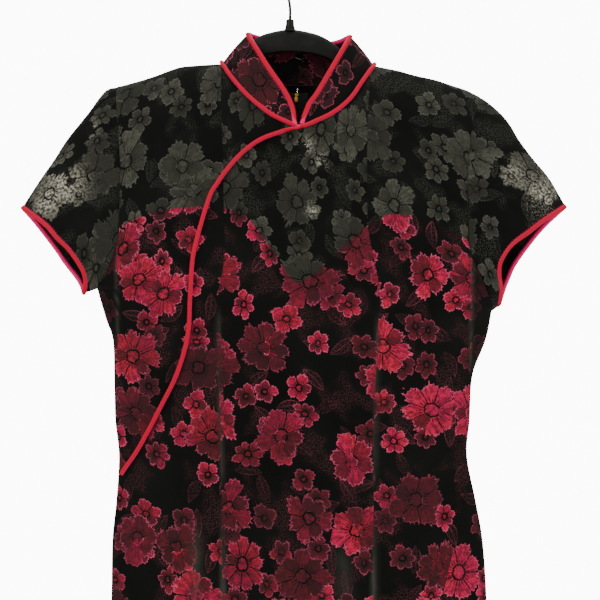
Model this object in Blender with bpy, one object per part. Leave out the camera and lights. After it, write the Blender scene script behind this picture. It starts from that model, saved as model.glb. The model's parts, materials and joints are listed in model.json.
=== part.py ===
"""Midi dress with a stand collar and wide three-quarter sleeves, on the plastic hanger that holds it.

Everything is in metres, +Z up, and the front of the dress faces -Y. The origin is the inside of the
crown of the hanger's hook. Left and right are the -X and +X sides. Tables of places hold x and z,
or the height z first, always measured from that origin.
"""

import math

import bmesh
import bpy
import numpy as np
from mathutils import Vector
from mathutils.bvhtree import BVHTree

# Cloth
CLOTH = 0.0012
COLLAR_CLOTH = 0.0015
COLLAR_SEAM_GAP = 0.0008
LINING_CLOTH = 0.0010
SEAM_GAP = 0.0003
TRIM_GAP = 0.00035

# Heights
UNDERARM = -0.356
HEM = -1.190
LINING_HEM = -1.150
SLIT_TOP = -0.925

# Shoulder seam from the sleeve to the neck, x and z
SHOULDER_LEFT = (
    (-0.1817, -0.1324), (-0.1733, -0.1303), (-0.1544, -0.1250), (-0.1386, -0.1198),
    (-0.1250, -0.1145), (-0.1134, -0.1110), (-0.0920, -0.1092), (-0.0714, -0.1080),
)
SHOULDER_RIGHT = (
    (0.1995, -0.1429), (0.1848, -0.1355), (0.1690, -0.1303), (0.1533, -0.1250),
    (0.1302, -0.1198), (0.1134, -0.1150), (0.0882, -0.1100),
)

# Neckline from the left shoulder to the right one, x and z
NECKLINE_FRONT = (
    (-0.0714, -0.1080), (-0.0603, -0.1249), (-0.0455, -0.1424), (-0.0298, -0.1565), (-0.0143, -0.1672),
    (0.0105, -0.1762),
    (0.0291, -0.1704), (0.0477, -0.1607), (0.0633, -0.1467), (0.0750, -0.1292), (0.0882, -0.1100),
)
NECKLINE_BACK = (
    (-0.0714, -0.1080), (-0.0500, -0.1185), (-0.0200, -0.1250), (0.0105, -0.1270),
    (0.0430, -0.1258), (0.0690, -0.1200), (0.0882, -0.1100),
)

# Armhole from the shoulder to the underarm, x and z
ARMHOLE_LEFT = (
    (-0.1817, -0.1324), (-0.1801, -0.1539), (-0.1770, -0.1902), (-0.1756, -0.2216), (-0.1764, -0.2579),
    (-0.1773, -0.2889), (-0.1822, -0.3095), (-0.1894, -0.3249), (-0.1966, -0.3362), (-0.2027, -0.3444),
)
ARMHOLE_RIGHT = (
    (0.1995, -0.1429), (0.1917, -0.1643), (0.1866, -0.1902), (0.1842, -0.2216), (0.1840, -0.2579),
    (0.1850, -0.2962), (0.1903, -0.3145), (0.1990, -0.3331), (0.2067, -0.3506), (0.2121, -0.3676),
)

# Side seam from the underarm to the hem, x and z
SIDE_LEFT = (
    (-0.2027, -0.3444), (-0.1932, -0.3770), (-0.1862, -0.3980), (-0.1848, -0.4400), (-0.1838, -0.4820),
    (-0.1800, -0.5190), (-0.1827, -0.5660), (-0.1869, -0.6080), (-0.1880, -0.6700), (-0.1910, -0.7600),
    (-0.1900, -0.8500), (-0.1830, -1.0000), (-0.1720, -1.1900),
)
SIDE_RIGHT = (
    (0.2121, -0.3676), (0.2058, -0.3980), (0.1920, -0.4350), (0.1890, -0.4820), (0.1862, -0.5190),
    (0.1953, -0.5660), (0.2027, -0.6080), (0.2069, -0.6700), (0.2090, -0.7600),
    (0.2060, -0.8500), (0.1970, -1.0000), (0.1850, -1.1900),
)

# Front darts, x and z
DART_LEFT = (
    (-0.0751, -0.3458), (-0.0746, -0.3970), (-0.0725, -0.4585), (-0.0705, -0.5302), (-0.0694, -0.6634),
    (-0.0660, -1.1900),
)
DART_RIGHT = (
    (0.0925, -0.3500), (0.0894, -0.4072), (0.0874, -0.4585), (0.0863, -0.5302), (0.0858, -0.6634),
    (0.0820, -1.1900),
)

# Half depth of the hanging dress: height, front, back
DEPTH = (
    (-0.100, 0.018, 0.022), (-0.127, 0.021, 0.028), (-0.175, 0.028, 0.029), (-0.250, 0.033, 0.029),
    (-0.330, 0.038, 0.028), (-0.400, 0.036, 0.027), (-0.519, 0.028, 0.024), (-0.600, 0.031, 0.028),
    (-0.700, 0.034, 0.033), (-0.850, 0.031, 0.031), (-1.000, 0.028, 0.028), (-1.190, 0.026, 0.026),
)
SECTION_POWER = 2.6
ARMHOLE_DEPTH = 0.025
UNDERARM_ROUND = 0.060
FRONT_SHOULDER_ROUND = 0.060
BACK_SHOULDER_ROUND = 0.030
DART_RIDGE = 0.0015
DART_TOPS = (-0.280, -0.320)
DART_EASE = 0.050
DART_HALF_WIDTH = 0.012
SLIT_GAP = 0.0030
SLIT_EASE = 0.1

# Soft hanging folds: share of the width, half width as such a share, height at the hem, top height
FRONT_FOLDS = (
    (0.225, 0.035, 0.0050, -0.560), (0.110, 0.035, -0.0035, -0.700), (0.345, 0.050, -0.0040, -0.680),
    (0.470, 0.055, 0.0055, -0.760), (0.600, 0.050, -0.0040, -0.720), (0.770, 0.045, 0.0060, -0.640),
    (0.895, 0.035, -0.0030, -0.780),
)
BACK_FOLDS = (
    (0.150, 0.045, 0.0055, -0.640), (0.290, 0.045, -0.0040, -0.720), (0.400, 0.040, 0.0045, -0.800),
    (0.620, 0.045, 0.0050, -0.700), (0.740, 0.045, -0.0040, -0.760), (0.870, 0.040, 0.0050, -0.660),
)

# Side edges that the slits part, and the way each moves
SLIT_EDGES = {
    "front": ((0, -1), -1), "back_left": ((0,), 1), "back_right": ((-1,), 1),
    "lining_front": ((0, -1), -1), "lining_back": ((0, -1), 1),
}

# Side tucks below the underarm, where the cloth steps back: x, top height, bottom height
TUCKS = ((-0.1796, -0.290, -0.405), (0.1880, -0.292, -0.442))
TUCK_STEP = 0.15
TUCK_WIDTH = 0.022

# Grid of a panel: shares of the width, with the neck between the two shoulders
SHOULDER_SHARES = (0.0, 0.012, 0.040, 0.090, 0.160, 0.230)
NECK_SHARES = (0.296, 0.710)
NECK_STEPS = 10
ROWS_ABOVE = (0.0, 0.010, 0.035, 0.080, 0.160, 0.280, 0.420, 0.570, 0.720, 0.860, 0.950, 1.0)
HEIGHTS_BELOW = (
    -0.378, -0.405, -0.440, -0.480, -0.519, -0.560, -0.610, -0.670, -0.740, -0.820, -0.915, -1.010,
    -1.105, -1.190,
)
LINING_ROWS_ABOVE = 4

# Top edge of the lining, x and z
LINING_TOP_FRONT = (
    (-0.2100, -0.2840), (-0.1752, -0.2801), (-0.1486, -0.2677), (-0.1178, -0.2616), (-0.0870, -0.2595),
    (-0.0613, -0.2626), (-0.0429, -0.2708), (-0.0285, -0.2903), (-0.0131, -0.3108), (-0.0018, -0.3303),
    (0.0060, -0.3390), (0.0136, -0.3365), (0.0290, -0.3262), (0.0464, -0.3088), (0.0618, -0.2944),
    (0.0803, -0.2790), (0.1029, -0.2677), (0.1254, -0.2688), (0.1439, -0.2739), (0.1644, -0.2831),
    (0.1829, -0.2944), (0.2150, -0.3000),
)
LINING_TOP_BACK = ((-0.2100, -0.2750), (0.0080, -0.2650), (0.2150, -0.2850))
LINING_SEAM_OFFSET = 0.0020
LINING_MID_OFFSET = 0.0031
LINING_EASE = 16

# Sleeve: upper edge from the shoulder, and the middle of the cuff binding in front and behind
SLEEVE_TOP_LEFT = (
    (-0.1817, -0.1324), (-0.1922, -0.1355), (-0.2016, -0.1460), (-0.2090, -0.1565), (-0.2174, -0.1670),
    (-0.2342, -0.1880), (-0.2478, -0.2090), (-0.2625, -0.2300),
)
SLEEVE_TOP_RIGHT = (
    (0.1995, -0.1429), (0.2110, -0.1512), (0.2226, -0.1618), (0.2310, -0.1722), (0.2405, -0.1880),
    (0.2562, -0.2090), (0.2720, -0.2280),
)
CUFF_FRONT_LEFT = (
    (-0.2822, -0.2585), (-0.2557, -0.2775), (-0.2426, -0.2923), (-0.2318, -0.3028), (-0.2214, -0.3173),
    (-0.2158, -0.3287), (-0.2144, -0.3401), (-0.2168, -0.3500),
)
CUFF_BACK_LEFT = (
    (-0.2822, -0.2585), (-0.2678, -0.2765), (-0.2528, -0.2969), (-0.2390, -0.3165), (-0.2269, -0.3314),
    (-0.2200, -0.3420), (-0.2168, -0.3500),
)
CUFF_FRONT_RIGHT = (
    (0.2906, -0.2572), (0.2670, -0.2722), (0.2483, -0.2861), (0.2332, -0.2976), (0.2237, -0.3101),
    (0.2190, -0.3216), (0.2194, -0.3345), (0.2216, -0.3443), (0.2205, -0.3645),
)
CUFF_BACK_RIGHT = (
    (0.2906, -0.2572), (0.2696, -0.2777), (0.2566, -0.2934), (0.2452, -0.3092), (0.2367, -0.3219),
    (0.2299, -0.3368), (0.2250, -0.3500), (0.2205, -0.3645),
)
CUFF_INWARD_LEFT = (0.820, 0.572)
CUFF_INWARD_RIGHT = (-0.837, 0.547)
CUFF_DEPTH = 0.016
CUFF_ROUND = 0.7
SLEEVE_BULGE = 0.006
SLEEVE_STEPS = 6

# Middle of the binding on the collar's edge, from the point of the neck round to the centre back
COLLAR_TOP_LEFT = (
    (0.0059, -0.0280, -0.1726), (0.0031, -0.0262, -0.1558), (-0.0056, -0.0238, -0.1381),
    (-0.0200, -0.0200, -0.1169), (-0.0361, -0.0125, -0.0908), (-0.0441, 0.0000, -0.0761),
)
COLLAR_TOP_RIGHT = (
    (0.0150, -0.0275, -0.1685), (0.0197, -0.0252, -0.1510), (0.0276, -0.0238, -0.1413),
    (0.0395, -0.0200, -0.1207), (0.0548, -0.0125, -0.0941), (0.0630, 0.0000, -0.0785),
)
COLLAR_TOP_BACK_LEFT = ((-0.0441, 0.0000, -0.0761), (-0.0340, 0.0120, -0.0776), (0.0105, 0.0235, -0.0874))
COLLAR_TOP_BACK_RIGHT = ((0.0630, 0.0000, -0.0785), (0.0475, 0.0130, -0.0829), (0.0105, 0.0235, -0.0874))
COLLAR_BULGE = 0.0010
NECK_MIDDLE = 0.0105

# Satin trim
PIPING_RADIUS = 0.0021
BINDING_RADIUS = 0.0022
BINDING_LIFT = 0.0028
PIPING_SIDES = 6
GROOVE_LIFT = 0.0019
POINT_TRIM = 0.0085
END_TRIM = 0.0015
OPENING_PATH = (
    (-0.0060, -0.1819), (-0.0257, -0.1889), (-0.0395, -0.1969), (-0.0533, -0.2090), (-0.0650, -0.2227),
    (-0.0747, -0.2366), (-0.0814, -0.2477), (-0.0891, -0.2715), (-0.0949, -0.2931), (-0.0991, -0.3128),
    (-0.1008, -0.3346), (-0.1021, -0.3570), (-0.1034, -0.3836), (-0.1084, -0.4093), (-0.1179, -0.4367),
    (-0.1317, -0.4638), (-0.1445, -0.4882), (-0.1586, -0.5134), (-0.1702, -0.5305), (-0.1745, -0.5375),
)
OPENING_STEPS = 40

# Hanger: x from the middle, height of its upper line, height of the section, half thickness
HANGER_NECK_LEFT = (
    (0.000, -0.0720, 0.0240, 0.0060), (-0.018, -0.0745, 0.0230, 0.0058), (-0.034, -0.0800, 0.0215, 0.0056),
    (-0.045, -0.0885, 0.0190, 0.0044), (-0.057, -0.1035, 0.0165, 0.0036), (-0.070, -0.1175, 0.0150, 0.0036),
)
HANGER_NECK_RIGHT = (
    (0.000, -0.0720, 0.0240, 0.0060), (0.018, -0.0745, 0.0230, 0.0058), (0.034, -0.0795, 0.0215, 0.0056),
    (0.050, -0.0900, 0.0190, 0.0044), (0.068, -0.1065, 0.0165, 0.0036), (0.086, -0.1205, 0.0150, 0.0036),
)
HANGER_END_LEFT = -0.168
HANGER_END_RIGHT = 0.184
HANGER_ARM_HEIGHT = 0.0130
HANGER_TIP_HEIGHT = 0.0090
HANGER_HALF_THICK = 0.0042
HANGER_CLEAR = 0.0007
HANGER_NECK_DROP = 0.0075
HANGER_SIDES = 12
ARM_SECTIONS = 7
BOSS = (0.0060, 0.0024, 0.0110)

# Hook: wire, inner radius of the crown, and the stem below it, x and z
WIRE_RADIUS = 0.0015
CROWN_RADIUS = 0.0160
STEM = ((0.0000, -0.0606), (0.0002, -0.0530), (-0.0008, -0.0430), (-0.0042, -0.0355), (-0.0110, -0.0300))
HOOK_START = math.radians(205)
HOOK_END = math.radians(-35)
HOOK_STEPS = 38
CROWN_KNOTS = 9

# Zip at the centre back
ZIP_HALF_WIDTH = 0.012
ZIP_TAPE = 0.0010
ZIP_TAPE_OFFSET = 0.00165
ZIP_BOTTOM = -0.70
SLIDER_MIDDLE = -0.1420
SLIDER_SIZE = (0.0060, 0.0022, 0.0090)
BRIDGE_WIDTH = 0.0014
BRIDGE_LENGTH = 0.0070
BRIDGE_INSIDE = 0.0017
BRIDGE_WALL = 0.0007
PULL_WIDTH = 0.0050
PULL_THICK = 0.0010
PULL_BAR = 0.0010
PULL_HOLE = (0.0026, 0.0056)
PULL_LENGTH = 0.0240
ROUND_STEPS = 9
SLIDER_REACH = 0.03

# Finish: base colour, roughness, metallic
VELVET = ((0.012, 0.013, 0.010), 0.85, 0.0)
SATIN = ((0.640, 0.008, 0.040), 0.35, 0.0)
LINING_SATIN = ((0.450, 0.040, 0.090), 0.45, 0.0)
PLASTIC = ((0.020, 0.022, 0.018), 0.40, 0.0)
STEEL = ((0.090, 0.090, 0.085), 0.35, 1.0)
TAPE = ((0.015, 0.015, 0.014), 0.80, 0.0)
BRASS = ((0.700, 0.480, 0.180), 0.30, 1.0)


def unit(vectors):
    """Scale each vector to length 1."""
    vectors = np.asarray(vectors, float)
    return vectors / np.maximum(np.linalg.norm(vectors, axis=-1, keepdims=True), 1e-12)


def through(points, shares):
    """Places at shares 0..1 of the length of a Catmull-Rom curve through the given points."""
    knots = np.asarray(points, float)
    padded = np.vstack([2 * knots[0] - knots[1], knots, 2 * knots[-1] - knots[-2]])
    t = np.linspace(0, 1, 16, endpoint=False)[:, None]
    runs = []
    for a, b, c, d in zip(padded[:-3], padded[1:-2], padded[2:-1], padded[3:]):
        cubic = (3 * b - a - 3 * c + d) * t**3 + (2 * a - 5 * b + 4 * c - d) * t**2 + (c - a) * t + 2 * b
        runs.append(cubic / 2)
    dense = np.vstack([*runs, knots[-1:]])
    run = np.concatenate([[0], np.cumsum(np.linalg.norm(np.diff(dense, axis=0), axis=1))])
    at = np.asarray(shares) * run[-1]
    return np.stack([np.interp(at, run, dense[:, axis]) for axis in range(dense.shape[1])], axis=-1)


def at_height(points, heights):
    """The x of a curve of (x, z) points at the given heights."""
    dense = through(points, np.linspace(0, 1, 400))[::-1]
    return np.interp(heights, dense[:, 1], dense[:, 0])


def quarter_round(share):
    """Rise from 0 to 1 along a quarter of a circle as share goes from 0 to 1."""
    return np.sqrt(1 - (1 - np.clip(share, 0, 1)) ** 2)


def smooth_step(share):
    """Ease from 0 to 1 as share goes from 0 to 1."""
    share = np.clip(share, 0, 1)
    return share * share * (3 - 2 * share)


def body_depth(x, z, back):
    """Distance from the middle plane to the cloth of the front, or of the back, at x and z.

    The section is a flat oval, -depth * sqrt(1 - |across| ** 2.6), raised to ARMHOLE_DEPTH at the
    armholes, rounded over the shoulders, and carries the darts, tucks and hanging folds.
    """
    left = at_height(ARMHOLE_LEFT + SIDE_LEFT[1:], z)
    right = at_height(ARMHOLE_RIGHT + SIDE_RIGHT[1:], z)
    share = np.clip((x - left) / (right - left), 0, 1)
    across = np.abs(2 * share - 1)
    table = np.array(DEPTH)[::-1]
    full = np.interp(z, table[:, 0], table[:, 2 if back else 1])
    edge_left = quarter_round((z - ARMHOLE_LEFT[-1][1]) / UNDERARM_ROUND)
    edge_right = quarter_round((z - ARMHOLE_RIGHT[-1][1]) / UNDERARM_ROUND)
    edge = ARMHOLE_DEPTH * (edge_left * (1 - share) + edge_right * share)
    depth = edge + (full - edge) * np.sqrt(1 - across**SECTION_POWER)
    for middle, half, height, top in BACK_FOLDS if back else FRONT_FOLDS:
        grow = np.clip((top - z) / (top - HEM), 0, 1)
        depth = depth + height * grow * np.exp(-(((share - middle) / half) ** 2))
    if not back:
        for tuck_x, top, bottom in TUCKS:
            inside = np.sin(np.pi * np.clip((top - z) / (top - bottom), 0, 1))
            beyond = smooth_step((np.abs(x) - abs(tuck_x)) / TUCK_WIDTH) * (np.sign(x) == np.sign(tuck_x))
            depth = depth * (1 - TUCK_STEP * inside * beyond)
        for dart, top in zip((DART_LEFT, DART_RIGHT), DART_TOPS):
            off = (x - at_height(dart, z)) / DART_HALF_WIDTH
            depth = depth + DART_RIDGE * smooth_step((top - z) / DART_EASE) * np.exp(-off * off)
    ridge = np.array(SHOULDER_LEFT + SHOULDER_RIGHT[::-1])
    below = np.interp(x, ridge[:, 0], ridge[:, 1]) - z
    return depth * quarter_round(below / (BACK_SHOULDER_ROUND if back else FRONT_SHOULDER_ROUND))


def column_shares():
    """Shares of the width at the columns of a panel, close together at the sides."""
    shoulder = np.array(SHOULDER_SHARES)
    neck = np.linspace(*NECK_SHARES, NECK_STEPS + 1)
    mirrored = 1 - shoulder[::-1] / NECK_SHARES[0] * (1 - NECK_SHARES[1])
    return np.concatenate([shoulder, neck, mirrored])


def spread(shares, left, dart_left, dart_right, right):
    """The x at each share of the width, with the darts at the two neck shares."""
    low, high = NECK_SHARES
    near = left + (dart_left - left) * shares / low
    middle = dart_left + (dart_right - dart_left) * (shares - low) / (high - low)
    far = dart_right + (right - dart_right) * (shares - high) / (1 - high)
    return np.where(shares < low, near, np.where(shares > high, far, middle))


def upper_point(share, row, neckline):
    """The x and z of the bodice at a share of the width and a row from shoulder (0) to underarm (1).

    A Coons patch between the shoulders with the neckline, the two armholes and the underarm line.
    """
    low, high = NECK_SHARES

    def top(at):
        left = through(SHOULDER_LEFT, np.clip(at / low, 0, 1))
        middle = through(neckline, np.clip((at - low) / (high - low), 0, 1))
        right = through(SHOULDER_RIGHT, np.clip((1 - at) / (1 - high), 0, 1))
        return np.where((at <= low)[..., None], left, np.where((at >= high)[..., None], right, middle))

    under_left = np.array(ARMHOLE_LEFT[-1])
    under_right = np.array(ARMHOLE_RIGHT[-1])
    bottom_z = under_left[1] + (under_right[1] - under_left[1]) * share
    bottom_x = spread(share, under_left[0], DART_LEFT[0][0], DART_RIGHT[0][0], under_right[0])
    u = share[..., None]
    v = row[..., None]
    sides = (1 - u) * through(ARMHOLE_LEFT, row) + u * through(ARMHOLE_RIGHT, row)
    ends = (1 - v) * top(share) + v * np.stack([bottom_x, bottom_z], axis=-1)
    corners_top = (1 - u) * np.array(SHOULDER_LEFT[0]) + u * np.array(SHOULDER_RIGHT[0])
    corners_bottom = (1 - u) * under_left + u * under_right
    return sides + ends - (1 - v) * corners_top - v * corners_bottom


def lower_point(share, drop):
    """The x and z of the dress below the underarm, at a share of the width and of the drop to the hem."""
    under_left = ARMHOLE_LEFT[-1][1]
    under_right = ARMHOLE_RIGHT[-1][1]
    start = under_left + (under_right - under_left) * share
    z = start + (HEM - start) * drop
    x = spread(
        share,
        at_height(SIDE_LEFT, under_left + (HEM - under_left) * drop),
        at_height(DART_LEFT, z),
        at_height(DART_RIGHT, z),
        at_height(SIDE_RIGHT, under_right + (HEM - under_right) * drop),
    )
    return np.stack([x, z], axis=-1)


def onto_body(flat, back):
    """Give each (x, z) point of a front or back grid its depth, with the seams on the middle plane."""
    depth = body_depth(flat[..., 0], flat[..., 1], back)
    y = depth if back else -depth
    return np.stack([flat[..., 0], y, flat[..., 1]], axis=-1)


def open_slits(grid, edges, toward):
    """Part the side edges of a front or back below the top of the slits by up to SLIT_GAP."""
    for edge in edges:
        opening = smooth_step((SLIT_TOP - grid[:, edge, 2]) / SLIT_EASE) * SLIT_GAP / 2
        grid[:, edge, 1] += toward * opening


def panel_grid(back):
    """Outer points of the front or back from the shoulders and neckline to the hem, row by row."""
    shares = column_shares()
    above = np.array(ROWS_ABOVE)
    below = (np.array(HEIGHTS_BELOW) - UNDERARM) / (HEM - UNDERARM)
    share, row = np.meshgrid(shares, above)
    upper = upper_point(share, row, NECKLINE_BACK if back else NECKLINE_FRONT)
    share, drop = np.meshgrid(shares, below)
    grid = onto_body(np.concatenate([upper, lower_point(share, drop)]), back)
    shoulder = len(SHOULDER_SHARES) + 1
    grid[0, :shoulder, 1] = 0
    grid[0, -shoulder:, 1] = 0
    grid[len(above) - 1:, (0, -1), 1] = 0
    return grid


def lining_grid(back, panel):
    """Points on the panel for the slip: its own top edge, then the panel's rows down to its hem."""
    top_edge = np.array(LINING_TOP_BACK if back else LINING_TOP_FRONT)
    shares = column_shares()
    share, row = np.meshgrid(shares, np.linspace(0, 1, 101))
    upper = upper_point(share, row, NECKLINE_BACK if back else NECKLINE_FRONT)
    over = upper[..., 1] - np.interp(upper[..., 0], top_edge[:, 0], top_edge[:, 1])
    starts = np.array([np.interp(0, -over[:, column], row[:, column]) for column in range(len(shares))])
    rows = starts + (1 - starts) * np.linspace(0, 1, LINING_ROWS_ABOVE, endpoint=False)[:, None]
    share = np.broadcast_to(shares, rows.shape)
    above = onto_body(upper_point(share, rows, NECKLINE_BACK if back else NECKLINE_FRONT), back)
    grid = np.concatenate([above, panel[len(ROWS_ABOVE) - 1:]])
    last = grid[-2] + (grid[-1] - grid[-2]) * ((LINING_HEM - grid[-2, :, 2:]) / (grid[-1] - grid[-2])[:, 2:])
    grid[-1] = last
    return grid


def sleeve_grid(front_edge, back_edge, top, cuff_front, cuff_back, inward):
    """Rings of a sleeve from the armhole to the cuff, each from the top round the front and back.

    Each side is a Coons patch between the armhole, the cuff and the two fold lines; its depth runs
    evenly from the armhole's to the cuff's, with a soft bulge between.
    """
    shares = np.array(ROWS_ABOVE)
    back_off = np.array(inward) * BINDING_LIFT
    upper_end = np.array(cuff_front[0]) + back_off
    along = np.linspace(0, 1, SLEEVE_STEPS + 1)
    upper = through((*top, tuple(upper_end)), along)
    sides = []
    for edge, cuff, sign in ((front_edge, cuff_front, -1), (back_edge, cuff_back, 1)):
        hole = edge[:, (0, 2)]
        end = through(cuff, shares) + back_off
        lower = hole[-1] + (end[-1] - hole[-1]) * along[:, None]
        u = along[:, None, None]
        v = shares[None, :, None]
        flat = (1 - u) * hole[None] + u * end[None] + (1 - v) * upper[:, None] + v * lower[:, None]
        flat = flat - (1 - v) * ((1 - u) * hole[0] + u * end[0]) - v * ((1 - u) * hole[-1] + u * end[-1])
        cuff_y = sign * CUFF_DEPTH * np.sin(np.pi * shares) ** CUFF_ROUND
        swell = np.sin(np.pi * along)[:, None] * np.sin(np.pi * shares)[None]
        y = (1 - along)[:, None] * edge[None, :, 1] + along[:, None] * cuff_y[None]
        y = y + sign * SLEEVE_BULGE * swell
        sides.append(np.stack([flat[..., 0], y, flat[..., 1]], axis=-1))
    front, back = sides
    front[:, (0, -1), 1] = 0
    return np.concatenate([front, back[:, -2:0:-1]], axis=1)


def off_edge(edge, within, closed):
    """Unit directions that leave an edge square to it, away from the next row within the cloth."""
    if closed:
        along = unit(np.roll(edge, -1, axis=0) - np.roll(edge, 1, axis=0))
    else:
        along = unit(np.gradient(edge, axis=0))
    away = edge - within
    return unit(away - along * (away * along).sum(axis=-1, keepdims=True))


def collar_grid(base, top_front, top_back):
    """Rows of half a stand collar from its neck seam up, from the point of the neck to the back."""
    shares = np.linspace(0, 1, NECK_STEPS // 2 + 1)
    front = through(top_front, shares)
    back = through(top_back, shares)
    top = np.concatenate([front, back[1:]])
    top = top - off_edge(top, base, False) * BINDING_LIFT
    out = unit(np.stack([base[:, 0] - NECK_MIDDLE, base[:, 1], np.zeros(len(base))], axis=-1))
    return np.stack([base, (base + top) / 2 + out * COLLAR_BULGE, top])


def grid_normals(grid, closed):
    """Unit normals of a grid, pointing away from the middle of its rows."""
    down = np.gradient(grid, axis=0)
    if closed:
        across = np.roll(grid, -1, axis=1) - np.roll(grid, 1, axis=1)
    else:
        across = np.gradient(grid, axis=1)
    normals = unit(np.cross(across, down))
    centre = grid.mean(axis=1, keepdims=True)
    if not closed:
        centre[..., 1] = 0
    return normals * np.sign(((grid - centre) * normals).sum(axis=-1).mean())


def shared_normals(grids, closed):
    """Normals of all grids, made one and the same where their points meet at a seam."""
    normals = [grid_normals(grid, name in closed).reshape(-1, 3) for name, grid in grids.items()]
    points = np.round(np.vstack([grid.reshape(-1, 3) for grid in grids.values()]) * 1e6)
    _, group = np.unique(points, axis=0, return_inverse=True)
    group = group.reshape(-1)
    total = np.zeros((group.max() + 1, 3))
    np.add.at(total, group, np.vstack(normals))
    welded = unit(total)[group]
    sizes = np.cumsum([len(part) for part in normals])[:-1]
    return {
        name: part.reshape(grids[name].shape)
        for name, part in zip(grids, np.split(welded, sizes))
    }


def draw_back(grid, closed, by):
    """Move the open edges of a grid inwards along its surface, which opens the seams."""
    moved = grid.copy()
    moved[0] += unit(grid[1] - grid[0]) * by
    moved[-1] += unit(grid[-2] - grid[-1]) * by
    if not closed:
        moved[:, 0] += unit(grid[:, 1] - grid[:, 0]) * by
        moved[:, -1] += unit(grid[:, -2] - grid[:, -1]) * by
    return moved


def finish_object(name, mesh, finish, group):
    """Make an object of the mesh, with its own material, in the dress's collection."""
    colour, roughness, metallic = finish
    material = bpy.data.materials.new(name + "_finish")
    material.use_nodes = True
    shader = material.node_tree.nodes["Principled BSDF"]
    shader.inputs["Base Color"].default_value = (*colour, 1.0)
    shader.inputs["Roughness"].default_value = roughness
    shader.inputs["Metallic"].default_value = metallic
    mesh.materials.append(material)
    made = bpy.data.objects.new(name, mesh)
    group.objects.link(made)
    return made


def close_mesh(name, points, faces):
    """A mesh of these faces with its normals pointing out."""
    mesh = bpy.data.meshes.new(name)
    mesh.from_pydata([tuple(point) for point in points], [], faces)
    shape = bmesh.new()
    shape.from_mesh(mesh)
    bmesh.ops.recalc_face_normals(shape, faces=shape.faces)
    shape.to_mesh(mesh)
    shape.free()
    mesh.shade_smooth()
    mesh.set_sharp_from_angle(angle=math.radians(40))
    return mesh


def wall_mesh(name, outer, inner, closed):
    """A cloth wall between two grids of the same shape, closed along its rims."""
    rows, columns = outer.shape[:2]
    index = np.arange(rows * columns).reshape(rows, columns)
    if closed:
        index = np.column_stack([index, index[:, 0]])
    skin = np.stack([index[:-1, :-1], index[:-1, 1:], index[1:, 1:], index[1:, :-1]], axis=-1).reshape(-1, 4)
    faces = [*skin.tolist(), *(skin[:, ::-1] + rows * columns).tolist()]
    edges = [index[0], index[-1]]
    if not closed:
        edges += [index[:, 0], index[:, -1]]
    for edge in edges:
        rim = np.stack([edge[:-1], edge[1:], edge[1:] + rows * columns, edge[:-1] + rows * columns], axis=-1)
        faces += rim.tolist()
    return close_mesh(name, np.concatenate([outer.reshape(-1, 3), inner.reshape(-1, 3)]), faces)


def tube_mesh(name, path, out, radius, closed=False, sides=PIPING_SIDES):
    """A round tube along a path, turned by the outward direction at each point."""
    if closed:
        along = unit(np.roll(path, -1, axis=0) - np.roll(path, 1, axis=0))
    else:
        along = unit(np.gradient(path, axis=0))
    side = unit(np.cross(along, out))
    lift = np.cross(side, along)
    turn = np.linspace(0, 2 * np.pi, sides, endpoint=False)[None, :, None]
    points = path[:, None] + radius * (np.cos(turn) * lift[:, None] + np.sin(turn) * side[:, None])
    steps = len(path)
    index = np.arange(steps * sides).reshape(steps, sides)
    index = np.column_stack([index, index[:, 0]])
    if closed:
        index = np.vstack([index, index[:1]])
    faces = np.stack([index[:-1, :-1], index[:-1, 1:], index[1:, 1:], index[1:, :-1]], axis=-1)
    faces = faces.reshape(-1, 4).tolist()
    if not closed:
        faces += [index[0, :-1].tolist(), index[-1, :-1].tolist()]
    return close_mesh(name, points.reshape(-1, 3), faces)


def onto_front(panel, x, z):
    """Points on the outside of the front grid at each x and z, and its outward directions, evened out."""
    rows, columns = panel.shape[:2]
    index = np.arange(rows * columns).reshape(rows, columns)
    faces = np.stack([index[:-1, :-1], index[:-1, 1:], index[1:, 1:], index[1:, :-1]], axis=-1).reshape(-1, 4)
    tree = BVHTree.FromPolygons([Vector(point) for point in panel.reshape(-1, 3)], faces.tolist())
    hits = [tree.ray_cast(Vector((px, -1.0, pz)), Vector((0, 1, 0))) for px, pz in zip(x, z)]
    points = np.array([hit[0] for hit in hits])
    out = np.array([hit[1] * (-1 if hit[1].y > 0 else 1) for hit in hits])
    padded = np.vstack([out[:1], out, out[-1:]])
    return points, unit(padded[:-2] + padded[1:-1] + padded[2:])


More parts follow.
